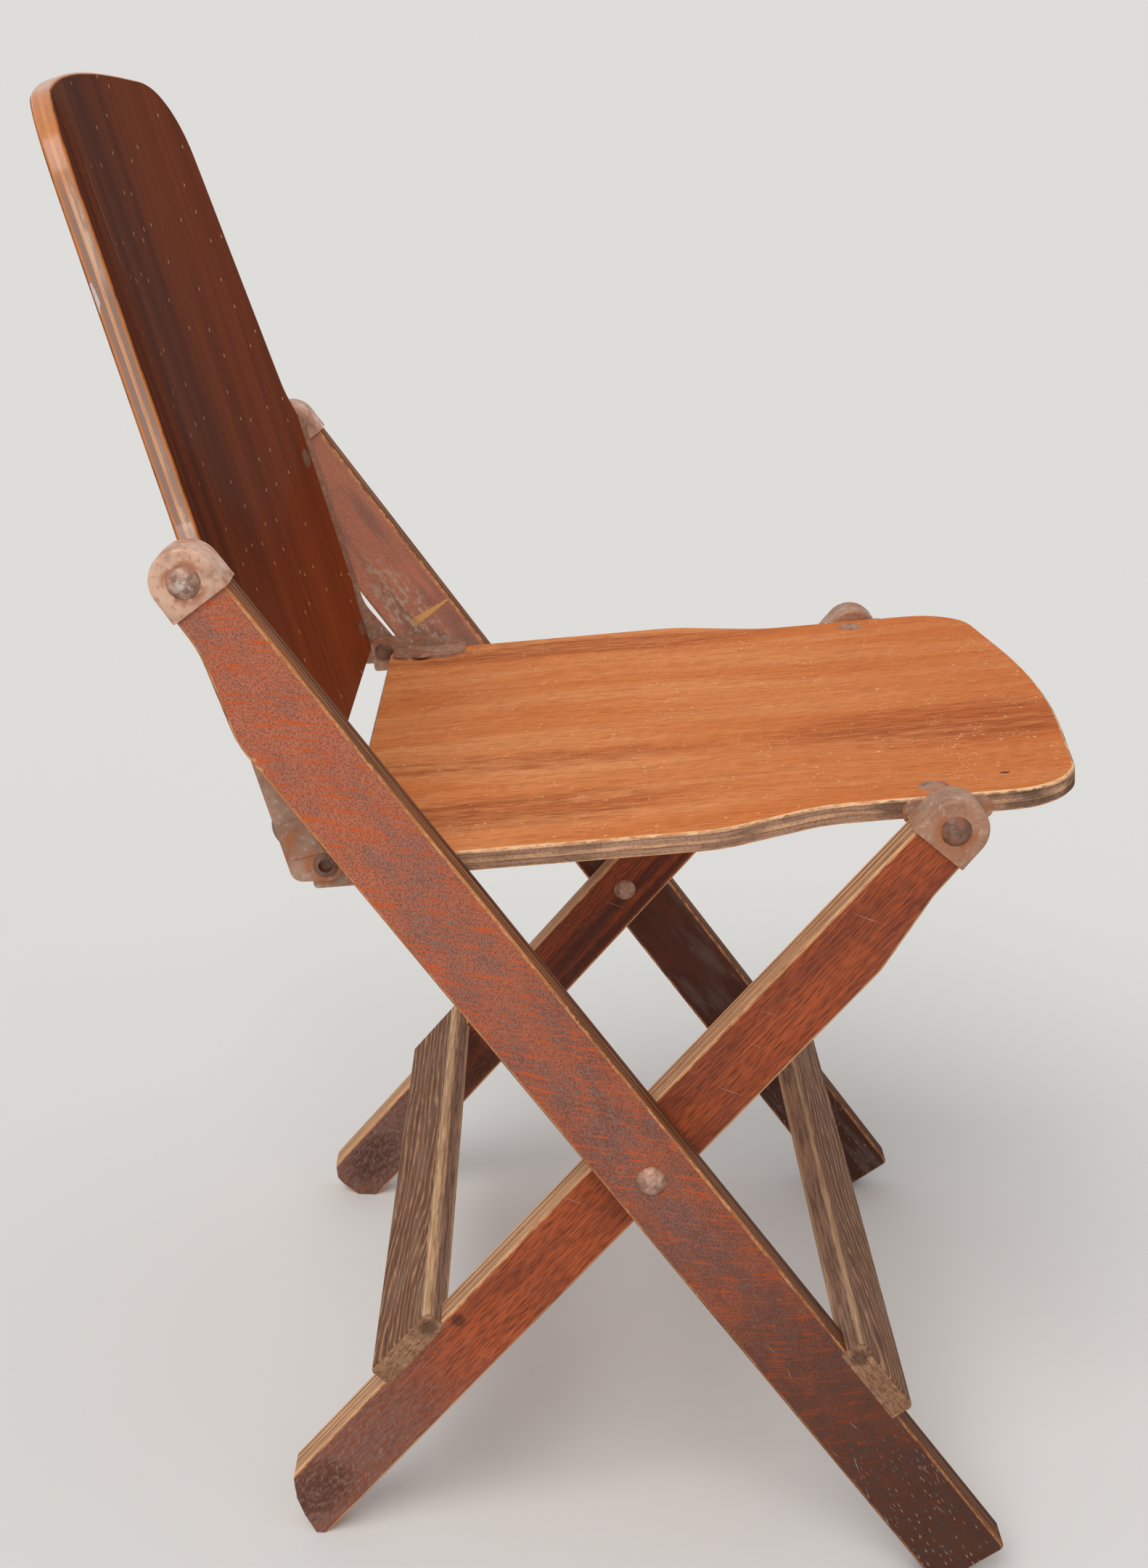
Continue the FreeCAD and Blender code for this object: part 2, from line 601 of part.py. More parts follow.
def back_rivet(x, z, ease=0.0):
    """Rivet through the panel and its bracket, square to the bow, its head clear of the hollow face."""
    front = BACK_AXIS_Y + BACK_RADIUS
    solid = panel_rivet(-BACK_THICKNESS - BRACKET_SHEET, BACK_HEAD_LIFT, BACK_HEAD)
    if ease:
        solid = Part.makeCylinder(PANEL_SHANK_RADIUS + ease, BIG, Vector(0, 0, -BIG / 2), Z_AXIS)
    solid.rotate(Vector(0, 0, 0), X_AXIS, 90)
    solid.translate(Vector(0, front, z))
    solid.rotate(Vector(0, BACK_AXIS_Y, 0), Z_AXIS, -bowed_place(x))
    return solid


def back_rivet_places():
    """Half widths and heights of the four rivets of the back."""
    return [(side * BACK_RIVET_OFFSET, z) for side in SIDES.values() for z in BACK_RIVET_HEIGHTS]


def back_panel():
    """Bent plywood back."""
    panel = bowed_sheet(0.0, BACK_THICKNESS).common(front_plate(back_outline(), -BIG, BIG))
    rim = [edge for face in panel.Faces if face.Area > BACK_HALF ** 2 for edge in face.Edges]
    panel = panel.makeChamfer(PLY_ARRIS, rim)
    for x, z in back_rivet_places():
        panel = panel.cut(back_rivet(x, z, HOLE_EASE))
    return panel


def back_bracket():
    """Long angle at the back's edge: a side strip from pivot to hinge, a flange behind the panel
    and a strap over the strip's lower end.
    """
    hinge_y, hinge_z = HINGE_ON_BACK
    flange_radius = BACK_RADIUS + BACK_THICKNESS + BRACKET_SHEET
    flange_rear = BACK_AXIS_Y + math.sqrt(flange_radius ** 2 - BACK_EAR_OUTER ** 2)
    strip = side_plate([
        (BACK_STRIP_FRONT, 0.0, 0),
        (flange_rear, 0.0, 0),
        (flange_rear, hinge_z - HINGE_EAR_RADIUS / 2, HINGE_EAR_CORNER),
        (hinge_y, hinge_z - HINGE_EAR_RADIUS, 0),
        (hinge_y - HINGE_EAR_FRONT, hinge_z, HINGE_EAR_FRONT_ROUNDING),
        (BACK_STRIP_FRONT, hinge_z + HINGE_EAR_RISE, BACK_STRIP_FRONT_ROUNDING),
    ], BACK_EAR_INNER, BACK_EAR_OUTER)
    top_ear = pin((0.0, 0.0), BACK_EAR_INNER, BACK_EAR_OUTER, BACK_EAR_RADIUS)
    hinge_ear = pin(HINGE_ON_BACK, BACK_EAR_INNER, BACK_EAR_OUTER, HINGE_EAR_RADIUS)
    strap = side_plate([
        (HINGE_STRAP_FRONT_TOP, HINGE_STRAP_TOP, 0),
        (flange_rear - HINGE_STRAP_SETBACK, HINGE_STRAP_TOP - HINGE_STRAP_SLOPE, 0),
        (flange_rear - HINGE_STRAP_SETBACK, HINGE_STRAP_BOTTOM, HINGE_STRAP_SLOPE),
        (HINGE_STRAP_FRONT_BOTTOM, HINGE_STRAP_BOTTOM, 0),
    ], BACK_EAR_OUTER, BACK_EAR_OUTER + HINGE_STRAP_SHEET)
    flange = bowed_sheet(BACK_THICKNESS, BACK_THICKNESS + BRACKET_SHEET).common(front_plate([
        (BACK_EAR_OUTER, BACK_FLANGE_BOTTOM, 0),
        (BACK_EAR_OUTER, BACK_FLANGE_TOP, 0),
        (BACK_EAR_OUTER - BACK_FLANGE_WIDTH, BACK_FLANGE_TOP, BACK_FLANGE_CORNER),
        (BACK_EAR_OUTER - BACK_FLANGE_WIDTH, BACK_FLANGE_BOTTOM, BACK_FLANGE_CORNER),
    ], -BIG, BIG))
    bracket = strip.fuse(top_ear).fuse(hinge_ear).fuse(strap).fuse(flange)
    bracket = bracket.cut(pin((0.0, 0.0), 0, BIG, SHANK_RADIUS + HOLE_EASE))
    bracket = bracket.cut(pin(HINGE_ON_BACK, 0, BIG, SHANK_RADIUS + HINGE_EASE))
    for z in BACK_RIVET_HEIGHTS:
        bracket = bracket.cut(back_rivet(BACK_RIVET_OFFSET, z, HOLE_EASE))
    return bracket.removeSplitter()


# Assembly

def long_leg_nodes():
    """Long legs, their caps, the cross rivets and the front stretcher."""
    nodes = {}
    inner_face = -LONG_LEG_FRONT + STRETCHER_LET_IN
    notch = stretcher_notch(-LONG_LEG_FRONT, inner_face, FRONT_STRETCHER_TOP)
    middle = (LONG_LEG_INNER + LONG_LEG_OUTER) / 2
    holes = dowels(middle, inner_face, -1, FRONT_STRETCHER_TOP, HOLE_EASE)
    sides = (LONG_LEG_INNER, LONG_LEG_OUTER)
    wood = leg(long_leg_outline, *sides, BACK_PIVOT_ON_LEG, HOLE_EASE, HOLE_EASE, notch)
    wood = wood.cut(holes)
    metal = cap(long_leg_outline, *sides, BACK_PIVOT_ON_LEG)
    skin = CAP_FIT + CAP_SHEET
    ends = (LONG_LEG_INNER - skin, LONG_LEG_OUTER + skin)
    pivot = side_rivet(BACK_PIVOT_ON_LEG, *ends, None, PIVOT_HEAD)
    cross = side_rivet((0.0, 0.0), SHORT_LEG_INNER - BODY_GAP, LONG_LEG_OUTER, CROSS_TAIL, PIVOT_HEAD)
    spacer = pin((0.0, 0.0), SHORT_LEG_OUTER + BODY_GAP, LONG_LEG_INNER, SPACER_RADIUS)
    spacer = spacer.cut(pin((0.0, 0.0), 0, BIG, SHANK_RADIUS + HOLE_EASE))
    shapes = {"long_leg": wood, "long_leg_cap": metal, "back_pivot_rivet": pivot}
    shapes.update({"cross_rivet": cross, "cross_spacer": spacer})
    for hand, side in SIDES.items():
        for name, shape in shapes.items():
            nodes[f"{hand}_{name}"] = sided(shape, side)
    bar = stretcher(LONG_LEG_OUTER, inner_face, -1, FRONT_STRETCHER_TOP)
    nodes["front_stretcher"] = bar.cut(holes)
    nodes["front_stretcher_dowels"] = dowels(middle, inner_face, -1, FRONT_STRETCHER_TOP)
    return {name: placed(shape, LONG_LEG_LEAN, CROSS) for name, shape in nodes.items()}


def worn_foot(outline):
    """What wear has taken from a rear foot, outside the outline that is left."""
    corners = [(y, z, 0) for y, z in outline]
    corners.append((outline[-1][0], outline[0][1] - SHORT_LEG_FOOT, 0))
    corners.append((outline[0][0], outline[0][1] - SHORT_LEG_FOOT, 0))
    return side_plate(corners, 0.0, BIG)


def short_leg_nodes():
    """Short legs, their caps, the seat's pivot rivets and the rear stretcher."""
    nodes = {}
    inner_face = SHORT_LEG_REAR - STRETCHER_LET_IN
    notch = stretcher_notch(SHORT_LEG_REAR, inner_face, REAR_STRETCHER_TOP)
    middle = (SHORT_LEG_INNER + SHORT_LEG_OUTER) / 2
    holes = dowels(middle, inner_face, 1, REAR_STRETCHER_TOP, HOLE_EASE)
    sides = (SHORT_LEG_INNER, SHORT_LEG_OUTER)
    wood = leg(short_leg_outline, *sides, SEAT_PIVOT_ON_LEG, HOLE_EASE, HINGE_EASE, notch)
    wood = wood.cut(holes)
    metal = cap(short_leg_outline, *sides, SEAT_PIVOT_ON_LEG)
    ends = (FRONT_EAR_INNER - BODY_GAP, SHORT_LEG_OUTER + CAP_FIT + CAP_SHEET)
    pivot = side_rivet(SEAT_PIVOT_ON_LEG, *ends, SEAT_TAIL, SEAT_PIVOT_HEAD)
    shapes = {"short_leg": wood, "short_leg_cap": metal, "seat_pivot_rivet": pivot}
    for hand, side in SIDES.items():
        for name, shape in shapes.items():
            nodes[f"{hand}_{name}"] = sided(shape, side)
    for hand, outline in (("right", WORN_RIGHT_FOOT), ("left", WORN_LEFT_FOOT)):
        worn_away = sided(worn_foot(outline), SIDES[hand])
        nodes[f"{hand}_short_leg"] = nodes[f"{hand}_short_leg"].cut(worn_away)
    bar = stretcher(SHORT_LEG_OUTER, inner_face, 1, REAR_STRETCHER_TOP)
    nodes["rear_stretcher"] = bar.cut(holes)
    nodes["rear_stretcher_dowels"] = dowels(middle, inner_face, 1, REAR_STRETCHER_TOP)
    return {name: placed(shape, SHORT_LEG_LEAN, CROSS) for name, shape in nodes.items()}


def seat_nodes():
    """Seat panel with its four brackets, their rivets and the hinge rivets."""
    nodes = {"seat_panel": seat_panel()}
    ends = (SEAT_EAR_INNER, BACK_EAR_OUTER + BODY_GAP)
    hinge_rivet = side_rivet(HINGE_ON_SEAT, *ends, HINGE_HEAD, HINGE_HEAD)
    hollow_start = ends[1] + HINGE_HEAD[1] - HINGE_HOLLOW_DEPTH
    hinge_rivet = hinge_rivet.cut(pin(HINGE_ON_SEAT, hollow_start, BIG, HINGE_HOLLOW_RADIUS))
    shapes = {"seat_front_bracket": seat_front_bracket(), "seat_hinge_bracket": seat_hinge_bracket()}
    shapes["hinge_rivet"] = hinge_rivet
    for hand, side in SIDES.items():
        for name, shape in shapes.items():
            nodes[f"{hand}_{name}"] = sided(shape, side)
    under = -SEAT_THICKNESS
    nodes["seat_front_bracket_rivets"] = seat_rivets(seat_front_rivet_place(), under - BRACKET_SHEET, 0.0)
    nodes["seat_hinge_bracket_rivets"] = seat_rivets(seat_rear_rivet_place(), under, BRACKET_SHEET)
    return {name: placed(shape, SEAT_LEAN, SEAT_ORIGIN) for name, shape in nodes.items()}


def back_nodes():
    """Back panel, its two side brackets and their rivets."""
    nodes = {"back_panel": back_panel()}
    for hand, side in SIDES.items():
        nodes[f"{hand}_back_bracket"] = sided(back_bracket(), side)
    nodes["back_bracket_rivets"] = Part.makeCompound([back_rivet(x, z) for x, z in back_rivet_places()])
    return {name: placed(shape, BACK_LEAN, BACK_PIVOT) for name, shape in nodes.items()}


def main():
    """Build every node, stand the chair on the floor about its middle and write one STEP each."""
    nodes = {}
    for group in (long_leg_nodes, short_leg_nodes, seat_nodes, back_nodes):
        nodes.update(group())
    above_floor = box((-BIG, BIG), (-BIG, BIG), (0.0, 2 * BIG))
    for name in nodes:
        if name.endswith("_leg"):
            nodes[name] = nodes[name].common(above_floor)
    whole = Part.makeCompound(list(nodes.values())).optimalBoundingBox(False, False)
    middle = Vector(0, -(whole.YMin + whole.YMax) / 2, 0)
    os.makedirs("parts", exist_ok=True)
    for name, shape in nodes.items():
        shape.translate(middle)
        solids = shape.Solids
        result = solids[0] if len(solids) == 1 else Part.makeCompound(solids)
        if not all(solid.isValid() for solid in solids):
            raise ValueError(f"{name} is not a valid solid")
        result.exportStep(f"parts/{name}.step")
        print(f"{name}: {len(solids)} solid(s), {sum(solid.Volume for solid in solids) / 1000:.1f} cm3")
    pivots = {"cross": CROSS, "seat pivot": SEAT_PIVOT, "hinge": HINGE, "back pivot": BACK_PIVOT}
    for name, point in pivots.items():
        print(f"{name}: y {point[0] + middle.y:.3f} z {point[1]:.3f}")
    print(f"box: {whole.XLength:.2f} x {whole.YLength:.2f} x {whole.ZLength:.2f}, lowest {whole.ZMin:.4f}")


main()
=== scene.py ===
import json
import math

import bmesh
import bpy
from bpy.props import FloatProperty, FloatVectorProperty, PointerProperty
from mathutils import Matrix, Vector

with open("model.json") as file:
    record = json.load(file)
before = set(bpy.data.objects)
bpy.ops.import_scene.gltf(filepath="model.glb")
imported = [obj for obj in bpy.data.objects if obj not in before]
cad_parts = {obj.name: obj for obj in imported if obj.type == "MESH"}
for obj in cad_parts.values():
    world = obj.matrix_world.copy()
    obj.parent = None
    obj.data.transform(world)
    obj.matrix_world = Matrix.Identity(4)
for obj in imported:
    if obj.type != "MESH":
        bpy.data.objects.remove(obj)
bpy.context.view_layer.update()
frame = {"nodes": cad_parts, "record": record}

bl_info = {
    "name": "Folding chair",
    "version": (1, 0, 0),
    "blender": (4, 5, 0),
    "location": "View3D > Sidebar > Chair",
    "description": "Finishes of a folding chair of bent plywood and laminated legs",
    "category": "Object",
}

# Pivots and origins of the pieces' upright frames, in metres
JOINT_PLACES = {joint["name"]: joint["pos_m"] for joint in frame["record"]["behaviour"]["joints"]}
CROSS = tuple(JOINT_PLACES["fold"])
SEAT_PIVOT = tuple(JOINT_PLACES["seat_pivot"])
HINGE = tuple(JOINT_PLACES["back_hinge"])
BACK_PIVOT = (0.0, 0.184979, 0.567903)
SEAT_ORIGIN = (0.0, CROSS[1], 0.436)

# Leans of the pieces about X, in degrees
LONG_LEG_LEAN = -38.1
SHORT_LEG_LEAN = 38.5
SEAT_LEAN = -6.6
BACK_LEAN = -17.6

# Sizes of the wooden pieces and their places in the upright frames, in metres
LEG_THICKNESS = 0.020
LONG_LEG_INNER = 0.202
LONG_LEG_OUTER = LONG_LEG_INNER + LEG_THICKNESS
SHORT_LEG_INNER = 0.1764
SHORT_LEG_OUTER = SHORT_LEG_INNER + LEG_THICKNESS
SEAT_THICKNESS = 0.0115
BACK_THICKNESS = 0.011
BACK_BOW_RADIUS = 0.89571
BACK_BOW_AXIS = -0.88271
BAR_THICKNESS = 0.014
BAR_HEIGHT = 0.050
FRONT_BAR_CENTRE = (-0.0268, -0.1725)
REAR_BAR_CENTRE = (0.0232, -0.1785)

# Places along X, where left is +X, between which a mask goes from nothing to full, in metres
LEFT_SIDE = (0.0, 0.01)
RIGHT_SIDE = (0.0, -0.01)
RIGHT_HALF = (0.0, -0.1)
LEG_CHIP_SIDE = (-0.2160, -0.2190)
BACK_LEFT_GLOW = (-0.10, 0.20)
BACK_DASHED = (-0.15, 0.0)
RING_SLANT_SIDE = (0.02, -0.21)

# Stretches along the pieces over which a mask goes from nothing to full, in metres
LONG_LEG_FOOT = (0.04, -0.28)
LONG_LEG_NICKED = (-0.16, -0.30)
LONG_LEG_TOP = (0.02, 0.26)
LONG_LEG_LOW_EDGE = (0.20, -0.20)
INNER_FACE_PAINTED_LIGHT = (0.10, 0.20)
UNDER_SEAT = (0.14, 0.04)
SHORT_LEG_FOOT = (-0.10, -0.28)
SHORT_LEG_WORN = (-0.13, -0.26)
SEAT_FRONT = (0.08, -0.22)
BACK_LOW_GLOW = (0.02, -0.17)
BACK_LOW_EDGE = (0.10, -0.04)
BACK_TOP_EDGE = (0.165, 0.215)

# Rubbed middle of the long legs' faces: height of its centre, then fades across and along, in metres
RUBBED_HEIGHT = 0.06
RUBBED_WIDTHS = (0.026, 0.004)
RUBBED_LENGTHS = (0.24, 0.04)

# Depths under the surface at which a mask goes from nothing to full, in metres
EDGE_DEPTHS = (0.0003, 0.0009)
BACK_EDGE_DEPTHS = (0.0004, 0.0010)
INNER_FACE_DEPTHS = (0.0012, 0.0006)
NARROW_FACE_DEPTHS = (0.0016, 0.0004)
BAR_ARRIS_DEPTHS = (0.0030, 0.0012)
BAR_END_DEPTHS = (0.0012, 0.0003)
STRIP_START = (0.00003, 0.00020)

# Widths of the bare strips along worn arrises, in metres; the stretchers' strips also have their cover.
# A strip's inner side is ragged by a share of its width, and the stretchers' strips by two lengths
STRIP_RAGGED = 1.8
BAR_STRIP_RAGGED = (0.006, 0.003)
LONG_LEG_STRIP = 0.0013
LEFT_LEG_EXTRA = 0.0010
SHORT_LEG_STRIP = 0.0013
SEAT_STRIP = 0.0014
BACK_STRIP = 0.0010
FRONT_BAR_STRIP = (0.0034, 0.476)
REAR_BAR_STRIP = (0.0062, 0.868)

# Heights of the reliefs, in metres
LEG_RELIEF = 0.0005
SEAT_RELIEF = 0.0003
BACK_RELIEF = 0.0002
BAR_RELIEF = 0.0008
STEEL_RELIEF = 0.0005
RIVET_RELIEF = 0.0012

# Single oval marks: centre and half sizes in the piece's upright frame, or from a bar's centre, in metres
LEG_SPLASH = ((0.004, 0.243), (0.018, 0.064))
LEG_CHIP = ((0.0225, 0.303), (0.0052, 0.0090))
FOOT_TIP = ((0.002, -0.284), (0.020, 0.030))
LEG_SPOT = ((0.0132, -0.1458), (0.0052, 0.0052))
SEAT_KNOT = ((-0.1457, -0.1807), (0.0020, 0.0036))
FAR_BAND = ((0.166, 0.045), (0.026, 0.170))
NEAR_BAND = ((-0.138, 0.100), (0.032, 0.140))
FRONT_BAND = ((-0.058, -0.170), (0.042, 0.130))
MIDDLE_BAND = ((-0.062, 0.080), (0.018, 0.150))
BAR_END_HOLE = ((0.0, 0.018), (0.006, 0.007))

# Chip on the back's edge: like the oval marks, but with shares of the thickness across the edge
BACK_CHIP = ((1.0, 0.134), (0.30, 0.012))

# Scratch on the back's front face: side, height, lean, then fades across, along and into the panel, in metres
LINE_SIDE = -0.0665
LINE_HEIGHT = 0.165
LINE_LEAN = 0.1
LINE_WIDTHS = (0.00042, 0.00016)
LINE_LENGTHS = (0.034, 0.020)
LINE_DEPTHS = (0.008, 0.003)

# Painted highlight on the back's edge: a stretch as high as the scratch, and one share of the thickness
SHINE_LENGTHS = (0.035, 0.012)
SHINE_SHARE = 0.34
SHINE_SHARES = (0.26, 0.06)

# Scrape across the left long leg, a wedge, in metres; it ends between two shares of its run
SCRAPE_START = -0.0232
SCRAPE_LENGTH = 0.0313
SCRAPE_HEIGHT = 0.2375
SCRAPE_RISE = 0.0011
SCRAPE_TIP = 0.0010
SCRAPE_WIDENS = 0.0026
SCRAPE_RAGGED = 0.0022
SCRAPE_FADE = 0.0010
SCRAPE_END = (1.10, 0.70)

# Thin tapered marks: cell of one mark, its half length and half thickness in metres, share of cells with one
LONG_RAYS = ((0.028, 0.0095), (0.015, 0.0011), 0.80)
MIDDLE_RAYS = ((0.026, 0.0070), (0.014, 0.0008), 0.75)
SHORT_RAYS = ((0.017, 0.0044), (0.010, 0.0006), 0.60)
LOW_SCRATCHES = ((0.031, 0.0110), (0.010, 0.00026), 0.30)
STEEP_SCRATCHES = ((0.023, 0.0140), (0.008, 0.00026), 0.25)
LONG_LEG_NICKS = ((0.0078, 0.0042), (0.0028, 0.00036), 0.55)
FINE_PORES = ((0.0090, 0.0012), (0.0056, 0.00034), 0.80)
LONG_PORES = ((0.0150, 0.0021), (0.009, 0.00040), 0.60)
SHORT_LEG_SCRATCHES = ((0.030, 0.011), (0.014, 0.0003), 0.22)
SHORT_LEG_NICKS = ((0.0120, 0.0060), (0.0050, 0.00030), 0.40)
SEAT_PORES = ((0.0100, 0.0016), (0.0050, 0.00030), 0.65)
BACK_DASHES = ((0.021, 0.019), (0.0019, 0.0009), 0.40)

# Round specks: cells to the metre, size within a cell, share of cells with one; the seat's are drawn out
SEAT_SPECK_STRETCH = (1.0, 0.6, 1.0)
LONG_LEG_DOTS = (300.0, 0.18, 0.14)
SPLASH_DROPS = (230.0, 0.26, 0.25)
SHORT_LEG_DOTS = (230.0, 0.14, 0.12)
SEAT_SPECKS = (290.0, 0.23, 0.30)
SEAT_DUST = (640.0, 0.34, 0.36)
STEEL_SPLATTER = (190.0, 0.30, 0.35)

# Rays of the long legs: rise as a cubic of y, how far x sets the faces' rays apart, shifts of the shorter
RAY_RISE = (0.2, 0.3, -3.7)
RAYS_APART = (2.9, 1.3)
MIDDLE_RAYS_SHIFT = (0.017, 0.0043)
SHORT_RAYS_SHIFT = (0.009, 0.0021)

# Pores of the short legs: how far x sets the faces' pores apart, and the shift of the longer ones, in metres
PORES_APART = (1.7, 2.3)
LONG_PORES_SHIFT = (0.004, 0.0007)

# Growth rings of the stretchers: width of a ring, sway, and slant towards the right end, in metres
RING_WIDTH = 0.0054
RING_SWAY = 0.034
RING_SLANT = 0.024

# Rust round a pivot, a rivet's darker rim and its crown with a painted glint, as distances from its axis, and
# the top of the splatter, in metres
RUST_RING = (0.0130, 0.0094)
RUST_RIM_START = (0.0175, 0.0205)
RUST_RIM_END = (0.0300, 0.0240)
RIVET_RIM = (0.0066, 0.0086)
RIVET_CROWN = (0.0140, 0.0070)
CROWN_RAGGED = 0.010
SPLATTER_TOP = (0.50, 0.45)

# Fades of marks: soft share of a size, soft step of a chance, full share of an oval's squared radius
SOFT_SHARE = 0.5
SOFT_CHANCE = 0.02
OVAL_CORE = 0.15

# Stage, in metres, with the camera's frame in millimetres
FLOOR_RADIUS = 40.0
FLOOR_SIDES = 96
FRAME_HEIGHT = 24.0
WHITE = (1.0, 1.0, 1.0)

# Standard curve between the levels of a display and linear light
CURVE_START = 0.04045
CURVE_SLOPE = 12.92
CURVE_OFFSET = 0.055
CURVE_POWER = 2.4


def display(red, green, blue):
    """Linear colour of a display colour that is given from 0 to 255."""
    shade = []
    for value in (red, green, blue):
        level = value / 255
        if level <= CURVE_START:
            shade.append(level / CURVE_SLOPE)
        else:
            shade.append(((level + CURVE_OFFSET) / (1 + CURVE_OFFSET)) ** CURVE_POWER)
    return tuple(shade)


def colour(name, description, default):
    """Colour property of a settings group."""
    return FloatVectorProperty(
        name=name, description=description, default=default, subtype="COLOR", size=3, min=0.0, max=1.0)


class LegLook(bpy.types.PropertyGroup):
    """Colours of the laminated legs."""
    face: colour("Face", "Side faces of the long legs", display(170, 97, 72))
    face_light: colour("Light face", "Upper faces of the long legs", display(206, 122, 92))
    # The inner colour is painted light: a paler worn tone that lifts the left leg's inner face above the
    # seat, which falls in shade.
    inner: colour("Inner face", "Inner face of the left long leg", display(222, 158, 130))
    face_dark: colour("Dark face", "Darker figure of the long legs", display(142, 82, 64))
    short_face: colour("Short face", "Side faces of the short legs", display(168, 82, 48))
    short_dark: colour("Dark short face", "Darker figure of the short legs", display(140, 68, 44))
    short_light: colour("Light short face", "Light streaks of the short legs", display(188, 98, 58))
    fleck: colour("Ray fleck", "Orange ray flecks of the long legs", display(204, 92, 42))
    pore: colour("Pore", "Dark open pores", display(84, 48, 38))
    grey: colour("Worn grey", "Grey where the varnish has gone", display(136, 115, 108))
    soot: colour("Soot", "Grey dirt on the lower ends", display(74, 62, 57))
    # The foot colour is painted shade on the long legs' lower ends near the floor, and also the painted
    # shadow under the seat.
    foot: colour("Foot", "Dark, dirty lower ends", display(74, 46, 36))
    short_foot: colour("Short foot", "Worn lower ends of the short legs", display(126, 86, 72))
    scuff: colour("Scuff", "Pale scuffs and paint specks", display(214, 196, 174))
    scrape: colour("Scrape", "Bare wood in a deep scrape", display(246, 194, 122))
    arris: colour("Arris", "Bare wood along the worn arrises", display(232, 166, 114))
    edge: colour("Edge", "Bare laminations of the long legs", display(208, 134, 84))
    edge_dark: colour("Dark edge", "Weathered laminations", display(130, 80, 52))
    edge_line: colour("Glue line", "Dark lines between the laminations", display(58, 35, 25))
    pale_edge: colour("Pale edge", "Bare laminations of the short legs", display(226, 178, 136))
    orange_edge: colour("Orange edge", "Varnish left on the short legs' edges", display(202, 142, 98))


class PanelLook(bpy.types.PropertyGroup):
    """Colours of the plywood seat and back."""
    seat: colour("Seat", "Seat face", display(217, 128, 72))
    seat_light: colour("Light seat", "Light figure of the seat face", display(230, 152, 96))
    seat_deep: colour("Deep seat", "Deeper threads of the seat face", display(188, 98, 50))
    seat_pale: colour("Pale seat", "Pale dust of the seat face", display(226, 160, 110))
    seat_streak: colour("Seat streak", "Reddish dark bands of the seat face", display(142, 66, 38))
    back: colour("Back", "Back face", display(110, 58, 38))
    back_dark: colour("Dark back", "Dark figure of the back face", display(78, 44, 34))
    # This red is painted light: the back face turns redder towards the left and towards its lower part.
    back_painted_light: colour("Red back", "Red figure of the back face", display(160, 76, 38))
    speck: colour("Speck", "Pale flecks in the faces", display(238, 202, 154))
    stain: colour("Stain", "Dark stains and the knot", display(60, 46, 38))
    ply_tan: colour("Tan ply", "Long-grain plies on the edges", display(218, 168, 130))
    ply_grey: colour("Grey ply", "Cross-grain plies of the seat's edge", display(178, 138, 114))
    ply_dark: colour("Dark ply", "Weathered lines of the seat's edge", display(138, 100, 79))
    ply_mauve: colour("Mauve ply", "Cross-grain plies of the back's edge", display(150, 116, 100))
    ply_orange: colour("Orange ply", "Varnished outer plies on the edges", display(206, 124, 60))
    # The pale ply is a painted highlight on the back's edge.
    edge_highlight: colour("Pale ply", "Bare shine on the back's edge", display(232, 194, 166))
    # On the seat this bare strip along the arrises also stands in for a painted highlight.
    arris: colour("Arris", "Bare wood along the seat's worn arrises", display(240, 198, 152))
    chip: colour("Chip", "Pale chip and scratch on the back", display(206, 198, 196))


class BarLook(bpy.types.PropertyGroup):
    """Colours of the stretchers and their dowels."""
    wood: colour("Wood", "Brown wood between the ridges", display(118, 77, 53))
    ridge: colour("Ridge", "Light weathered ridges of the grain", display(198, 150, 110))
    grey: colour("Grey", "Grey weathered narrow faces", display(150, 119, 99))
    dark: colour("Dark grain", "Dark lines of the open grain", display(82, 55, 41))
    arris: colour("Arris", "Pale worn arrises", display(216, 178, 136))
    end: colour("End", "End grain", display(172, 128, 96))
    dowel: colour("Dowel", "Hidden dowels", display(176, 142, 104))


class SteelLook(bpy.types.PropertyGroup):
    """Colours of the pressed steel and the rivets."""
    paint: colour("Paint", "Taupe paint of the hinge and back brackets", display(178, 140, 118))
    upper_cap: colour("Upper cap", "Paint of the long legs' caps", display(220, 176, 150))
    seat_cap: colour("Seat cap", "Paint of the short legs' caps and front brackets", display(174, 129, 103))
    paint_dark: colour("Dark paint", "Dull and dirty paint", display(136, 98, 78))
    rust: colour("Rust", "Rust on the paint and the rivets", display(168, 100, 62))
    # The bare steel colour is also the painted glint on the pivot rivets' crowns.
    bare: colour("Bare steel", "Paint worn to the steel", display(212, 198, 190))
    rivet: colour("Rivet", "Worn rivets of the cross, the upper pivots and the seat", display(174, 128, 106))
    rivet_brown: colour("Brown rivet", "Rivets of the seat's pivots and hinges", display(118, 80, 64))
    rivet_dark: colour("Dark rivet", "Dirt on the rivets, and the rivets of the back", display(110, 77, 61))
    splatter: colour("Splatter", "White paint splatter", display(226, 218, 208))


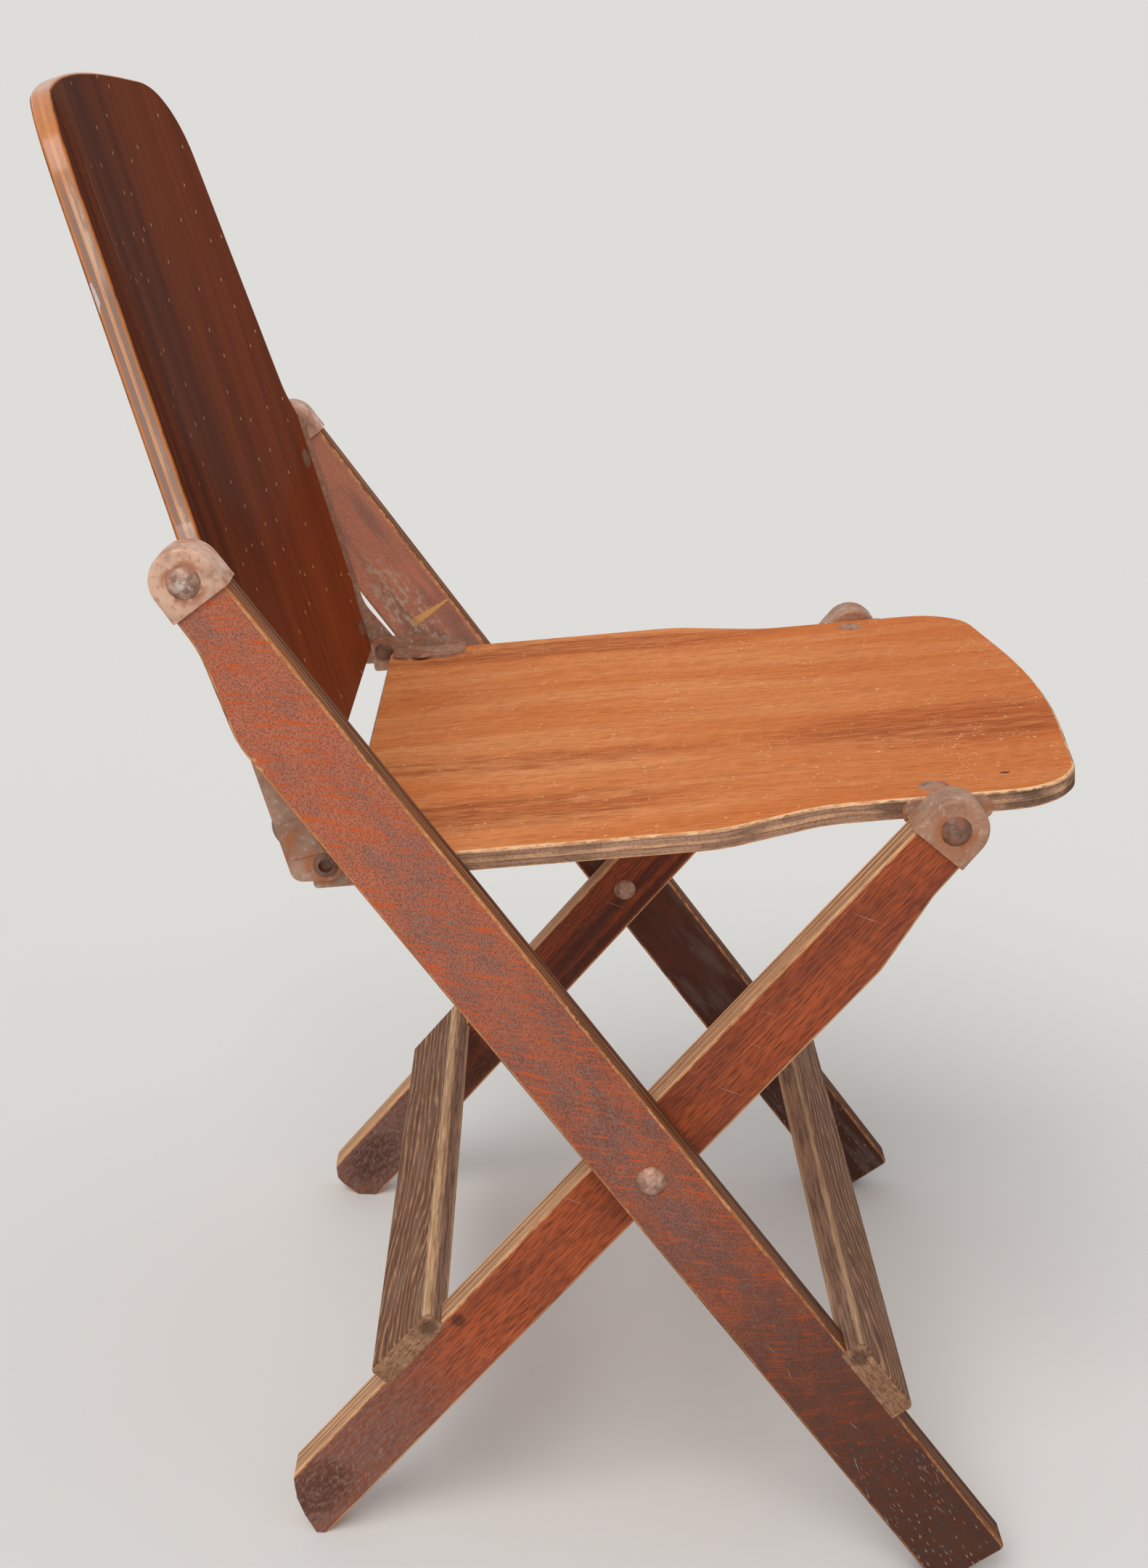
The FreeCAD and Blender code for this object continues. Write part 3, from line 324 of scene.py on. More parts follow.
class StageLook(bpy.types.PropertyGroup):
    """Floor, light and camera."""
    floor: colour("Floor", "Pale floor", (0.74, 0.73, 0.71))
    backdrop: colour("Backdrop", "What the camera sees past the floor", (0.729, 0.719, 0.699))
    world_level: FloatProperty(name="World", description="Even light from all round", default=0.62, min=0.0)
    key_level: FloatProperty(
        name="Key", description="Main soft light, in watts on a square metre", default=1.5, min=0.0)
    key_spread: FloatProperty(
        name="Spread", description="Width of the main light in the sky", default=0.7,
        subtype="ANGLE", min=0.0)
    key_from: FloatVectorProperty(
        name="Key from", description="Where the main light comes from", default=(-0.62, 0.34, 0.86),
        subtype="DIRECTION", size=3)
    camera_place: FloatVectorProperty(
        name="Camera", description="Place of the lens", default=(-1.16368, 0.01918, 0.80571),
        subtype="TRANSLATION", unit="LENGTH", size=3)
    camera_yaw: FloatProperty(
        name="Yaw", description="Turn of the view from +X towards +Y", default=0.0151, subtype="ANGLE")
    camera_pitch: FloatProperty(
        name="Pitch", description="How far the view looks down", default=0.3416, subtype="ANGLE")
    camera_roll: FloatProperty(
        name="Roll", description="Turn of the picture about the view", default=-0.0199, subtype="ANGLE")
    camera_lens: FloatProperty(
        name="Lens", description="Focal length in millimetres on a 24 mm high frame", default=31.354, min=1.0)
    camera_shift: FloatVectorProperty(
        name="Shift", description="Shift of the frame, in frame heights", default=(0.0473, -0.0005), size=2)


class ChairSettings(bpy.types.PropertyGroup):
    """All settings of the chair."""
    legs: PointerProperty(type=LegLook, name="Legs", description="Laminated legs")
    panels: PointerProperty(type=PanelLook, name="Panels", description="Seat and back")
    bars: PointerProperty(type=BarLook, name="Bars", description="Stretchers")
    steel: PointerProperty(type=SteelLook, name="Steel", description="Caps, brackets and rivets")
    stage: PointerProperty(type=StageLook, name="Stage", description="Floor, light and camera")


class Wire:
    """Output of a node; sums and products of wires add Math nodes."""

    def __init__(self, finish, socket):
        self.finish = finish
        self.socket = socket

    def __add__(self, other):
        return self.finish.maths("ADD", self, other)

    __radd__ = __add__

    def __sub__(self, other):
        return self.finish.maths("SUBTRACT", self, other)

    def __rsub__(self, other):
        return self.finish.maths("SUBTRACT", other, self)

    def __mul__(self, other):
        return self.finish.maths("MULTIPLY", self, other)

    __rmul__ = __mul__

    def __truediv__(self, other):
        return self.finish.maths("DIVIDE", self, other)

    def __pow__(self, other):
        return self.finish.maths("POWER", self, other)

    def __abs__(self):
        return self.finish.maths("ABSOLUTE", self, 0.0)

    def other(self, name):
        """Another output of the same node."""
        return Wire(self.finish, self.socket.node.outputs[name])


class Finish:
    """Node tree of a material or of the world."""

    def __init__(self, tree):
        self.tree = tree
        self.tree.nodes.clear()

    def add(self, kind, settings=None, inputs=None, output=0):
        """Add a node: its type, its settings, then the values or wires of its sockets."""
        node = self.tree.nodes.new("ShaderNode" + kind)
        for key, value in (settings or {}).items():
            if key == "stops":
                elements = node.color_ramp.elements
                elements.remove(elements[1])
                elements[0].position, elements[0].color = value[0]
                for position, shade in value[1:]:
                    elements.new(position).color = shade
            else:
                setattr(node, key, value)
        for key, value in (inputs or {}).items():
            socket = node.inputs[key]
            if isinstance(value, Wire):
                self.tree.links.new(value.socket, socket)
            else:
                socket.default_value = value
        return Wire(self, node.outputs[output]) if len(node.outputs) else None

    def maths(self, operation, first, second):
        """Math node on two values."""
        return self.add("Math", {"operation": operation}, {0: first, 1: second})

    def least(self, first, second):
        """Lower of two values."""
        return self.maths("MINIMUM", first, second)

    def most(self, first, *others):
        """Highest of several values."""
        for value in others:
            first = self.maths("MAXIMUM", first, value)
        return first

    def waves(self, value):
        """Even waves between 0 and 0.5, one to each unit of a value."""
        return self.maths("PINGPONG", value, 0.5)

    def step(self, value, low, high):
        """Smooth rise from 0 at low to 1 at high."""
        return self.add("MapRange", {"interpolation_type": "SMOOTHSTEP"}, {
            "Value": value, "From Min": low, "From Max": high})

    def near(self, value, centre, outer, inner):
        """Smooth rise from 0 at an outer distance from a centre to 1 at an inner one."""
        return self.step(abs(value - centre), outer, inner)

    def own(self):
        """Coordinates of the piece's own object."""
        return self.add("TexCoord", output="Object")

    def place(self, origin, lean):
        """Coordinates in the upright frame of a leaned piece."""
        turn = (math.radians(lean), 0.0, 0.0)
        return self.add("Mapping", {"vector_type": "TEXTURE"}, {
            "Vector": self.own(), "Location": origin, "Rotation": turn})

    def split(self, vector):
        """Three values of a vector."""
        first = self.add("SeparateXYZ", inputs={0: vector})
        return [Wire(self, socket) for socket in first.socket.node.outputs]

    def joined(self, x, y, z):
        """Vector of three values."""
        return self.add("CombineXYZ", {}, {0: x, 1: y, 2: z})

    def stretched(self, vector, factors):
        """Vector times a factor for each axis."""
        return self.add("VectorMath", {"operation": "MULTIPLY"}, {0: vector, 1: factors})

    def noise(self, vector, scale, detail=3.0, stretch=None, distortion=0.0):
        """Soft random value from 0 to 1, with a factor for each axis where it is drawn out."""
        if stretch:
            vector = self.stretched(vector, stretch)
        return self.add("TexNoise", {}, {
            "Vector": vector, "Scale": scale, "Detail": detail, "Distortion": distortion}, "Fac")

    def wander(self, vector, scale, amount, detail=3.0, stretch=None):
        """Soft random shift to both sides of 0, over an amount in all."""
        return (self.noise(vector, scale, detail, stretch) - 0.5) * amount

    def specks(self, vector, scale, size, share):
        """Small round marks: one in a share of the cells, of a size within its cell."""
        distance = self.add("TexVoronoi", {}, {"Vector": vector, "Scale": scale}, "Distance")
        chance = self.split(distance.other("Color"))[0]
        return self.step(distance, size, size * SOFT_SHARE) * self.step(chance, share, share - SOFT_CHANCE)

    def flecks(self, u, v, cell, size, share):
        """Thin tapered marks along u: at most one in each cell, of a half length and half thickness."""
        spots = self.joined(u / cell[0], v / cell[1], 0.0)
        nearest = self.add(
            "TexVoronoi", {"voronoi_dimensions": "2D"}, {"Vector": spots, "Scale": 1.0}, "Position")
        away = self.add("VectorMath", {"operation": "SUBTRACT"}, {0: spots, 1: nearest})
        along, across = self.split(away)[:2]
        taper = 1.0 - abs(along) * (cell[0] / size[0])
        inside = taper * size[1] - abs(across) * cell[1]
        chance = self.split(nearest.other("Color"))[0]
        chosen = self.step(chance, share + SOFT_CHANCE / 2, share - SOFT_CHANCE / 2)
        return self.step(inside, 0.0, size[1] * SOFT_SHARE) * chosen

    def patch(self, u, v, centre, half):
        """Soft oval: 1 at its centre, 0 outside its half sizes."""
        across = (u - centre[0]) / half[0]
        along = (v - centre[1]) / half[1]
        return self.step(across * across + along * along, 1.0, OVAL_CORE)

    def mix(self, factor, first, second):
        """Colour between two colours."""
        return self.add("Mix", {"data_type": "RGBA"}, {0: factor, 6: opaque(first), 7: opaque(second)}, 2)

    def coats(self, base, *layers):
        """Colour under further coats, each with its cover and its shade."""
        for cover, shade in layers:
            base = self.mix(cover, base, shade)
        return base

    def ramp(self, value, stops):
        """Colour that changes along a value from 0 to 1."""
        return self.add("ValToRGB", {"stops": [(at, opaque(shade)) for at, shade in stops]}, {"Fac": value})

    def bump(self, height, distance):
        """Relief of a height from 0 to 1, over a real distance."""
        return self.add("Bump", {}, {"Height": height, "Distance": distance})

    def surface(self, **inputs):
        """Shader and output of the finish; underscores in the names stand for spaces."""
        values = {key.replace("_", " "): value for key, value in inputs.items()}
        shader = self.add("BsdfPrincipled", {}, values)
        self.add("OutputMaterial", {}, {"Surface": shader})


def opaque(shade):
    """Colour with full cover; wires pass through."""
    return shade if isinstance(shade, Wire) else tuple(shade)[:3] + (1.0,)


def new_material(name):
    """Material with an empty finish."""
    material = bpy.data.materials.new(name)
    material.use_nodes = True
    return material, Finish(material.node_tree)


def dress(material, *names):
    """Give a material to chair nodes, in their objects' material slots."""
    for name in names:
        piece = frame["nodes"][name]
        if not piece.material_slots:
            raise RuntimeError(f"{name} has no material slot")
        for material_slot in piece.material_slots:
            material_slot.material = material


def both(name):
    """Names of a node on the right and on the left side."""
    return [f"right_{name}", f"left_{name}"]


def lifted(mask, low):
    """Mask that is raised to run from a low value to 1."""
    return mask * (1.0 - low) + low


def pivot_distance(y, z, pivot):
    """Distance from the axis of a pivot."""
    return ((y - pivot[1]) ** 2.0 + (z - pivot[2]) ** 2.0) ** 0.5


def worn_line(finish, depth, place, width):
    """Bare wood along an arris: a thin broken strip under the face, with a ragged inner side."""
    ragged = depth + finish.wander(place, scale=330.0, detail=4.0, amount=width * STRIP_RAGGED)
    broken = finish.step(finish.noise(place, scale=80.0, detail=4.0), 0.38, 0.56)
    strip = finish.step(depth, *STRIP_START) * finish.step(ragged, width, width * SOFT_SHARE)
    return strip * lifted(broken, 0.25)


def leg_layer(finish, place, depth, scale, amount):
    """Share of the way through a leg from its outer face, in slightly wavy layers."""
    return depth / LEG_THICKNESS + finish.wander(place, scale, amount, stretch=(0.0, 1.0, 0.12))


def ray_flecks(finish, place, x, y, z):
    """Ray flecks of the long legs: three lengths on gently curved levels, broken up by noise."""
    sway = finish.wander(place, scale=24.0, detail=2.0, amount=0.008)
    rise = y * RAY_RISE[0] + y * y * RAY_RISE[1] + y * y * y * RAY_RISE[2]
    reach = y + x * RAYS_APART[0]
    level = z - rise + sway + x * RAYS_APART[1]
    rays = finish.most(
        finish.flecks(reach, level, *LONG_RAYS),
        finish.flecks(reach + MIDDLE_RAYS_SHIFT[0], level + MIDDLE_RAYS_SHIFT[1], *MIDDLE_RAYS),
        finish.flecks(reach + SHORT_RAYS_SHIFT[0], level + SHORT_RAYS_SHIFT[1], *SHORT_RAYS) * 0.7)
    ragged = finish.step(finish.noise(place, scale=420.0, detail=4.0), 0.36, 0.54)
    return rays * lifted(ragged, 0.3)


def long_leg_marks(finish, place, y, z, along, foot):
    """Scratches, nicks and paint specks of the long legs, stronger near the feet."""
    scratches = finish.most(
        finish.flecks(y + z * 0.8, z - y * 0.9, *LOW_SCRATCHES),
        finish.flecks(z + y * 0.3, y - z * 0.4, *STEEP_SCRATCHES))
    scratches = scratches * finish.step(finish.noise(place, scale=40.0), 0.42, 0.58) * (0.12 + foot * 0.5)
    crowded = finish.step(finish.noise(place, scale=90.0), 0.42, 0.60)
    nicks = finish.flecks(y * 0.7 + z, y - z * 0.7, *LONG_LEG_NICKS) * lifted(crowded, 0.35)
    nicks = nicks * finish.step(along, *LONG_LEG_NICKED) * 0.8
    dots = finish.specks(place, *LONG_LEG_DOTS) * (0.35 + foot * 0.3)
    return finish.most(scratches, dots, nicks)


def leg_splash(finish, place, across, along):
    """Splash of pale paint on a long leg: a fine spray with larger drops."""
    spray = finish.noise(place, scale=380.0, detail=6.0, stretch=(1.0, 1.0, 0.5))
    drops = finish.specks(place, *SPLASH_DROPS)
    splash = finish.patch(across, along, *LEG_SPLASH)
    return splash * finish.most(finish.step(spray, 0.46, 0.62) * 0.75, drops)


def leg_scrape(finish, across, along, grit):
    """Deep scrape across a long leg: a ragged wedge that widens along its run."""
    run = (across - SCRAPE_START) / SCRAPE_LENGTH
    half_width = run * SCRAPE_WIDENS + SCRAPE_TIP
    off_middle = abs(along - run * SCRAPE_RISE - SCRAPE_HEIGHT)
    wedge = half_width - off_middle - (grit - 0.5) * SCRAPE_RAGGED
    return finish.step(wedge, 0.0, SCRAPE_FADE) * finish.step(run, *SCRAPE_END)


def long_leg_material(look):
    """Long legs: speckled red-brown faces with orange ray flecks, dark ridged laminations on the edges."""
    material, finish = new_material("long_leg_wood")
    place = finish.place(CROSS, LONG_LEG_LEAN)
    x, across, along = finish.split(place)
    y, z = finish.split(finish.own())[1:]
    side = abs(x)
    depth = finish.least(side - LONG_LEG_INNER, LONG_LEG_OUTER - side)
    left = finish.step(x, *LEFT_SIDE)
    inside_left = left * finish.step(x - LONG_LEG_INNER, *INNER_FACE_DEPTHS)
    foot = finish.step(along, *LONG_LEG_FOOT)
    # Inner face of the left long leg below the seat, where a shadow is painted
    shaded_under_seat = inside_left * finish.step(along, *UNDER_SEAT)

    # Faces and their marks
    cloud = finish.noise(place, scale=70.0, detail=4.0, stretch=(1.0, 1.0, 0.55))
    grit = finish.noise(place, scale=1250.0, detail=2.0)
    smear = finish.noise(place, scale=85.0, detail=5.0, stretch=(1.0, 1.0, 0.18))
    mottle = finish.noise(place, scale=190.0, detail=6.0, stretch=(1.0, 1.0, 0.7))
    pores = finish.noise(place, scale=1400.0, detail=2.0, stretch=(1.0, 1.0, 0.6))
    pores = finish.step(pores, 0.46, 0.64)
    rubbed = finish.near(across, 0.0, *RUBBED_WIDTHS) * finish.near(along, RUBBED_HEIGHT, *RUBBED_LENGTHS)
    worn = finish.step(cloud + rubbed * 0.16, 0.48, 0.70)
    speckle = finish.step(grit, 0.42, 0.60) * (0.14 + worn * 0.66) * (1.0 - inside_left * 0.6)
    rays = ray_flecks(finish, place, x, y, z) * (0.95 - worn * 0.35) * (1.0 - inside_left)
    marks = long_leg_marks(finish, place, y, z, along, foot)
    marks = finish.most(marks, inside_left * leg_splash(finish, place, across, along))
    scrape = leg_scrape(finish, across, along, grit) * inside_left
    face = finish.coats(
        look.face,
        (finish.step(cloud, 0.36, 0.64), look.face_dark),
        (finish.step(along, *LONG_LEG_TOP) * 0.6, look.face_light),
        # Painted light on the left leg's inner face above the seat, partly a paler worn tone
        (inside_left * finish.step(along, *INNER_FACE_PAINTED_LIGHT) * 0.75, look.inner),
        (inside_left * finish.step(smear, 0.44, 0.66) * 0.55, look.grey),
        (speckle, look.grey),
        (pores * (0.48 - inside_left * 0.3), look.pore),
        (rays, look.fleck),
        # Painted shade on the lower ends
        (foot * 0.90, look.foot),
        (foot * finish.step(mottle, 0.44, 0.64) * 0.50, look.soot),
        # Painted shadow under the seat, with grey smears in it
        (shaded_under_seat * 0.72, look.foot),
        (shaded_under_seat * finish.step(smear, 0.52, 0.68) * 0.32, look.grey),
        (marks, look.scuff),
        (scrape * 0.95, look.scrape))

    # Laminated edges and bare arrises
    layer = leg_layer(finish, place, LONG_LEG_OUTER - side, scale=60.0, amount=0.08)
    grain = finish.noise(place, scale=700.0, stretch=(1.0, 1.0, 0.02))
    edge = finish.ramp(layer, [
        (0.00, look.edge), (0.07, look.edge), (0.10, look.edge_line), (0.15, look.edge),
        (0.22, look.edge_dark), (0.26, look.edge_line), (0.30, look.edge), (0.40, look.edge_dark),
        (0.45, look.edge_line), (0.50, look.edge), (0.62, look.edge_dark), (0.67, look.edge_line),
        (0.72, look.edge_dark), (0.90, look.edge_dark), (1.00, look.edge)])
    edge = finish.coats(
        edge,
        (finish.step(grain, 0.46, 0.62) * 0.70, look.edge_line),
        (finish.step(along, *LONG_LEG_LOW_EDGE) * 0.55, look.edge_line))
    on_edge = finish.step(depth, *EDGE_DEPTHS)
    strip = LONG_LEG_STRIP + left * LEFT_LEG_EXTRA
    bare = worn_line(finish, depth, place, strip) * (1.0 - foot * 0.60)
    torn = finish.noise(place, scale=300.0, detail=4.0)
    chip = finish.patch(across, along, *LEG_CHIP) * finish.step(x, *LEG_CHIP_SIDE)
    bare = finish.most(bare, finish.step(chip * 0.5 + torn, 0.80, 0.98))
    bare_wood = finish.mix(finish.step(torn, 0.36, 0.56), look.edge, look.arris)
    wood = finish.coats(face, (on_edge, edge), (bare * 0.9, bare_wood))

    ridges = finish.step(finish.waves(layer * 5.0), 0.0, 0.25)
    height = grit * 0.30 - pores * 0.25 - marks * 0.2 + on_edge * (ridges * 1.2 + grain * 0.6) - bare * 0.5
    finish.surface(
        Base_Color=wood, Roughness=0.48 + worn * 0.14 + marks * 0.2 + on_edge * 0.14,
        Specular_IOR_Level=0.08, Normal=finish.bump(height, LEG_RELIEF))
    return material


def short_leg_material(look):
    """Short legs: red-brown faces with fine dark pores, bare pale laminations on the edges."""
    material, finish = new_material("short_leg_wood")
    place = finish.place(CROSS, SHORT_LEG_LEAN)
    x, across, along = finish.split(place)
    side = abs(x)
    depth = finish.least(side - SHORT_LEG_INNER, SHORT_LEG_OUTER - side)
    foot = finish.step(along, *SHORT_LEG_FOOT)

    # Faces and their marks
    cloud = finish.noise(place, scale=55.0, detail=4.0, stretch=(1.0, 1.0, 0.22))
    fine = finish.noise(place, scale=520.0, stretch=(1.0, 1.0, 0.03))
    bands = finish.noise(place, scale=120.0, detail=2.0, stretch=(1.0, 1.0, 0.035))
    scour = finish.noise(place, scale=480.0, detail=5.0, stretch=(1.0, 1.0, 0.6))
    run = along + x * PORES_APART[0]
    row = across + x * PORES_APART[1]
    pores = finish.most(
        finish.flecks(run, row, *FINE_PORES),
        finish.flecks(run + LONG_PORES_SHIFT[0], row + LONG_PORES_SHIFT[1], *LONG_PORES))
    haze = finish.step(scour + (cloud - 0.5) * 0.5 + foot * 0.04, 0.40, 0.74)
    # Left short leg darker all over as painted shade, with darker streaks from the bands
    left_shade_and_streaks = finish.step(x, *LEFT_SIDE) * (finish.step(bands, 0.44, 0.60) * 0.55 + 0.35)
    tip = finish.patch(across, along, *FOOT_TIP) * finish.step(scour, 0.76, 0.40)
    spot = finish.patch(across, along, *LEG_SPOT) * finish.step(x, *RIGHT_SIDE)
    scratches = finish.flecks(across - along * 0.35, along + across * 0.35, *SHORT_LEG_SCRATCHES)
    scratches = scratches * finish.step(finish.noise(place, scale=30.0, detail=2.0), 0.46, 0.60)
    nicks = finish.flecks(along + across, across - along, *SHORT_LEG_NICKS) * foot
    marks = finish.most(
        finish.most(scratches, nicks) * 0.35, finish.specks(place, *SHORT_LEG_DOTS) * 0.55)
    face = finish.coats(
        look.short_face,
        (finish.step(cloud, 0.36, 0.66), look.short_dark),
        (finish.step(fine, 0.48, 0.72) * 0.55, look.short_light),
        # Painted shade and streaks on the left short leg, in the pore colour
        (left_shade_and_streaks, look.pore),
        (pores * 0.66, look.pore),
        (finish.step(along, *SHORT_LEG_WORN) * 0.70, look.short_foot),
        (haze * (0.08 + foot * 0.46), look.grey),
        (tip * 0.55, look.edge_line),
        (spot * 0.8, look.pore),
        (marks, look.scuff))

    # Laminated edges and bare arrises
    layer = leg_layer(finish, place, SHORT_LEG_OUTER - side, scale=50.0, amount=0.06)
    grain = finish.noise(place, scale=900.0, stretch=(1.0, 1.0, 0.015))
    grime = finish.noise(place, scale=50.0, detail=4.0, stretch=(0.4, 1.0, 0.2))
    edge = finish.ramp(layer, [
        (0.00, look.orange_edge), (0.07, look.pale_edge), (0.11, look.edge_dark), (0.14, look.pale_edge),
        (0.20, look.pale_edge), (0.23, look.edge_line), (0.27, look.pale_edge), (0.35, look.orange_edge),
        (0.44, look.pale_edge), (0.48, look.edge_line), (0.52, look.pale_edge), (0.59, look.edge_dark),
        (0.62, look.pale_edge), (0.71, look.pale_edge), (0.75, look.edge_line), (0.79, look.orange_edge),
        (0.90, look.pale_edge), (1.00, look.orange_edge)])
    edge = finish.coats(
        edge,
        (finish.step(grain, 0.50, 0.66) * 0.7, look.edge_dark),
        (finish.step(grime, 0.54, 0.72) * 0.5, look.edge_dark))
    on_edge = finish.step(depth, *EDGE_DEPTHS)
    bare = worn_line(finish, depth, place, SHORT_LEG_STRIP)
    wood = finish.coats(face, (on_edge, edge), (bare * 0.75, look.arris))

    ridges = finish.step(finish.waves(layer * 4.0), 0.0, 0.2)
    height = fine * 0.3 - pores * 0.35 - marks * 0.2 + on_edge * (ridges * 0.8 + grain * 0.6)
    finish.surface(
        Base_Color=wood, Roughness=0.46 + haze * 0.16 + on_edge * 0.14,
        Specular_IOR_Level=0.10, Normal=finish.bump(height, LEG_RELIEF))
    return material


def seat_material(look):
    """Seat plywood: warm face with soft reddish bands and pale specks, weathered plies on the edge."""
    material, finish = new_material("seat_plywood")
    place = finish.place(SEAT_ORIGIN, SEAT_LEAN)
    x, along, up = finish.split(place)
    depth = finish.least(up * -1.0, up + SEAT_THICKNESS)
    to_front = finish.step(along, *SEAT_FRONT)

    # Face, its bands and its specks
    row = x + finish.wander(place, scale=11.0, detail=2.0, amount=0.030, stretch=(0.6, 0.5, 0.0))
    cut = finish.joined(row, along, up)
    broad = finish.noise(cut, scale=30.0, detail=4.0, stretch=(1.0, 0.14, 1.0))
    thread = finish.noise(cut, scale=150.0, detail=5.0, stretch=(1.0, 0.08, 1.0))
    fine = finish.noise(cut, scale=640.0, stretch=(1.0, 0.10, 1.0))
    grit = finish.noise(place, scale=1000.0, detail=2.0)
    pores = finish.flecks(along + x * 0.4, row, *SEAT_PORES)
    bands = finish.most(
        finish.patch(row, along, *FAR_BAND), finish.patch(row, along, *NEAR_BAND),
        finish.patch(row, along, *FRONT_BAND), finish.patch(row, along, *MIDDLE_BAND) * 0.7)
    bands = bands * finish.step(thread * 0.6 + fine * 0.7, 0.40, 0.86)
    specks = finish.specks(finish.stretched(place, SEAT_SPECK_STRETCH), *SEAT_SPECKS)
    specks = specks * finish.step(finish.noise(place, scale=26.0), 0.42, 0.60)
    dust = finish.specks(place, *SEAT_DUST) * finish.step(finish.noise(place, scale=40.0), 0.53, 0.62)
    specks = finish.most(specks, dust)
    face = finish.coats(
        look.seat,
        (finish.step(broad, 0.34, 0.68), look.seat_light),
        (finish.step(thread, 0.40, 0.72) * 0.34, look.seat_deep),
        (to_front * 0.45, look.seat_deep),
        (bands * 0.72, look.seat_streak),
        (finish.step(fine, 0.46, 0.68) * 0.30, look.seat_streak),
        (pores * 0.42, look.seat_streak),
        (finish.step(grit, 0.52, 0.70) * 0.20, look.seat_pale),
        (specks * 0.85, look.speck),
        (finish.patch(x, along, *SEAT_KNOT) * 0.9, look.stain))

    # Weathered plies on the edge
    share = up / -SEAT_THICKNESS + finish.wander(place, scale=24.0, amount=0.08, stretch=(1.0, 1.0, 0.0))
    rough = finish.noise(place, scale=320.0, detail=5.0, stretch=(0.12, 0.12, 2.4))
    pitted = finish.noise(place, scale=620.0, detail=4.0)
    stain = finish.noise(place, scale=60.0, detail=5.0, stretch=(0.6, 0.6, 1.0)) + to_front * 0.06
    plies = finish.ramp(share, [
        (0.00, look.ply_orange), (0.10, look.ply_tan), (0.15, look.ply_tan), (0.18, look.ply_dark),
        (0.21, look.ply_grey), (0.40, look.ply_grey), (0.43, look.ply_tan), (0.58, look.ply_tan),
        (0.62, look.ply_dark), (0.66, look.ply_grey), (0.86, look.ply_grey), (0.90, look.ply_tan),
        (1.00, look.ply_orange)])
    plies = finish.coats(
        plies,
        (finish.step(rough, 0.44, 0.64) * 0.60, look.ply_dark),
        (finish.step(pitted, 0.46, 0.66) * 0.28, look.stain),
        (finish.step(stain, 0.45, 0.68) * (0.26 + to_front * 0.40), look.stain))
    on_edge = finish.step(depth, *EDGE_DEPTHS)
    bare = worn_line(finish, depth, place, SEAT_STRIP)
    # Bare strip along the seat's arrises, also a painted highlight
    wood = finish.coats(face, (on_edge, plies), (bare * 0.9, look.arris))

    height = fine * 0.4 - pores * 0.3 + specks * 0.2 + rough * on_edge * 1.2
    finish.surface(
        Base_Color=wood, Roughness=0.42 + on_edge * 0.25, Specular_IOR_Level=0.0,
        Coat_Weight=0.05 - on_edge * 0.05, Coat_Roughness=0.28, Normal=finish.bump(height, SEAT_RELIEF))
    return material


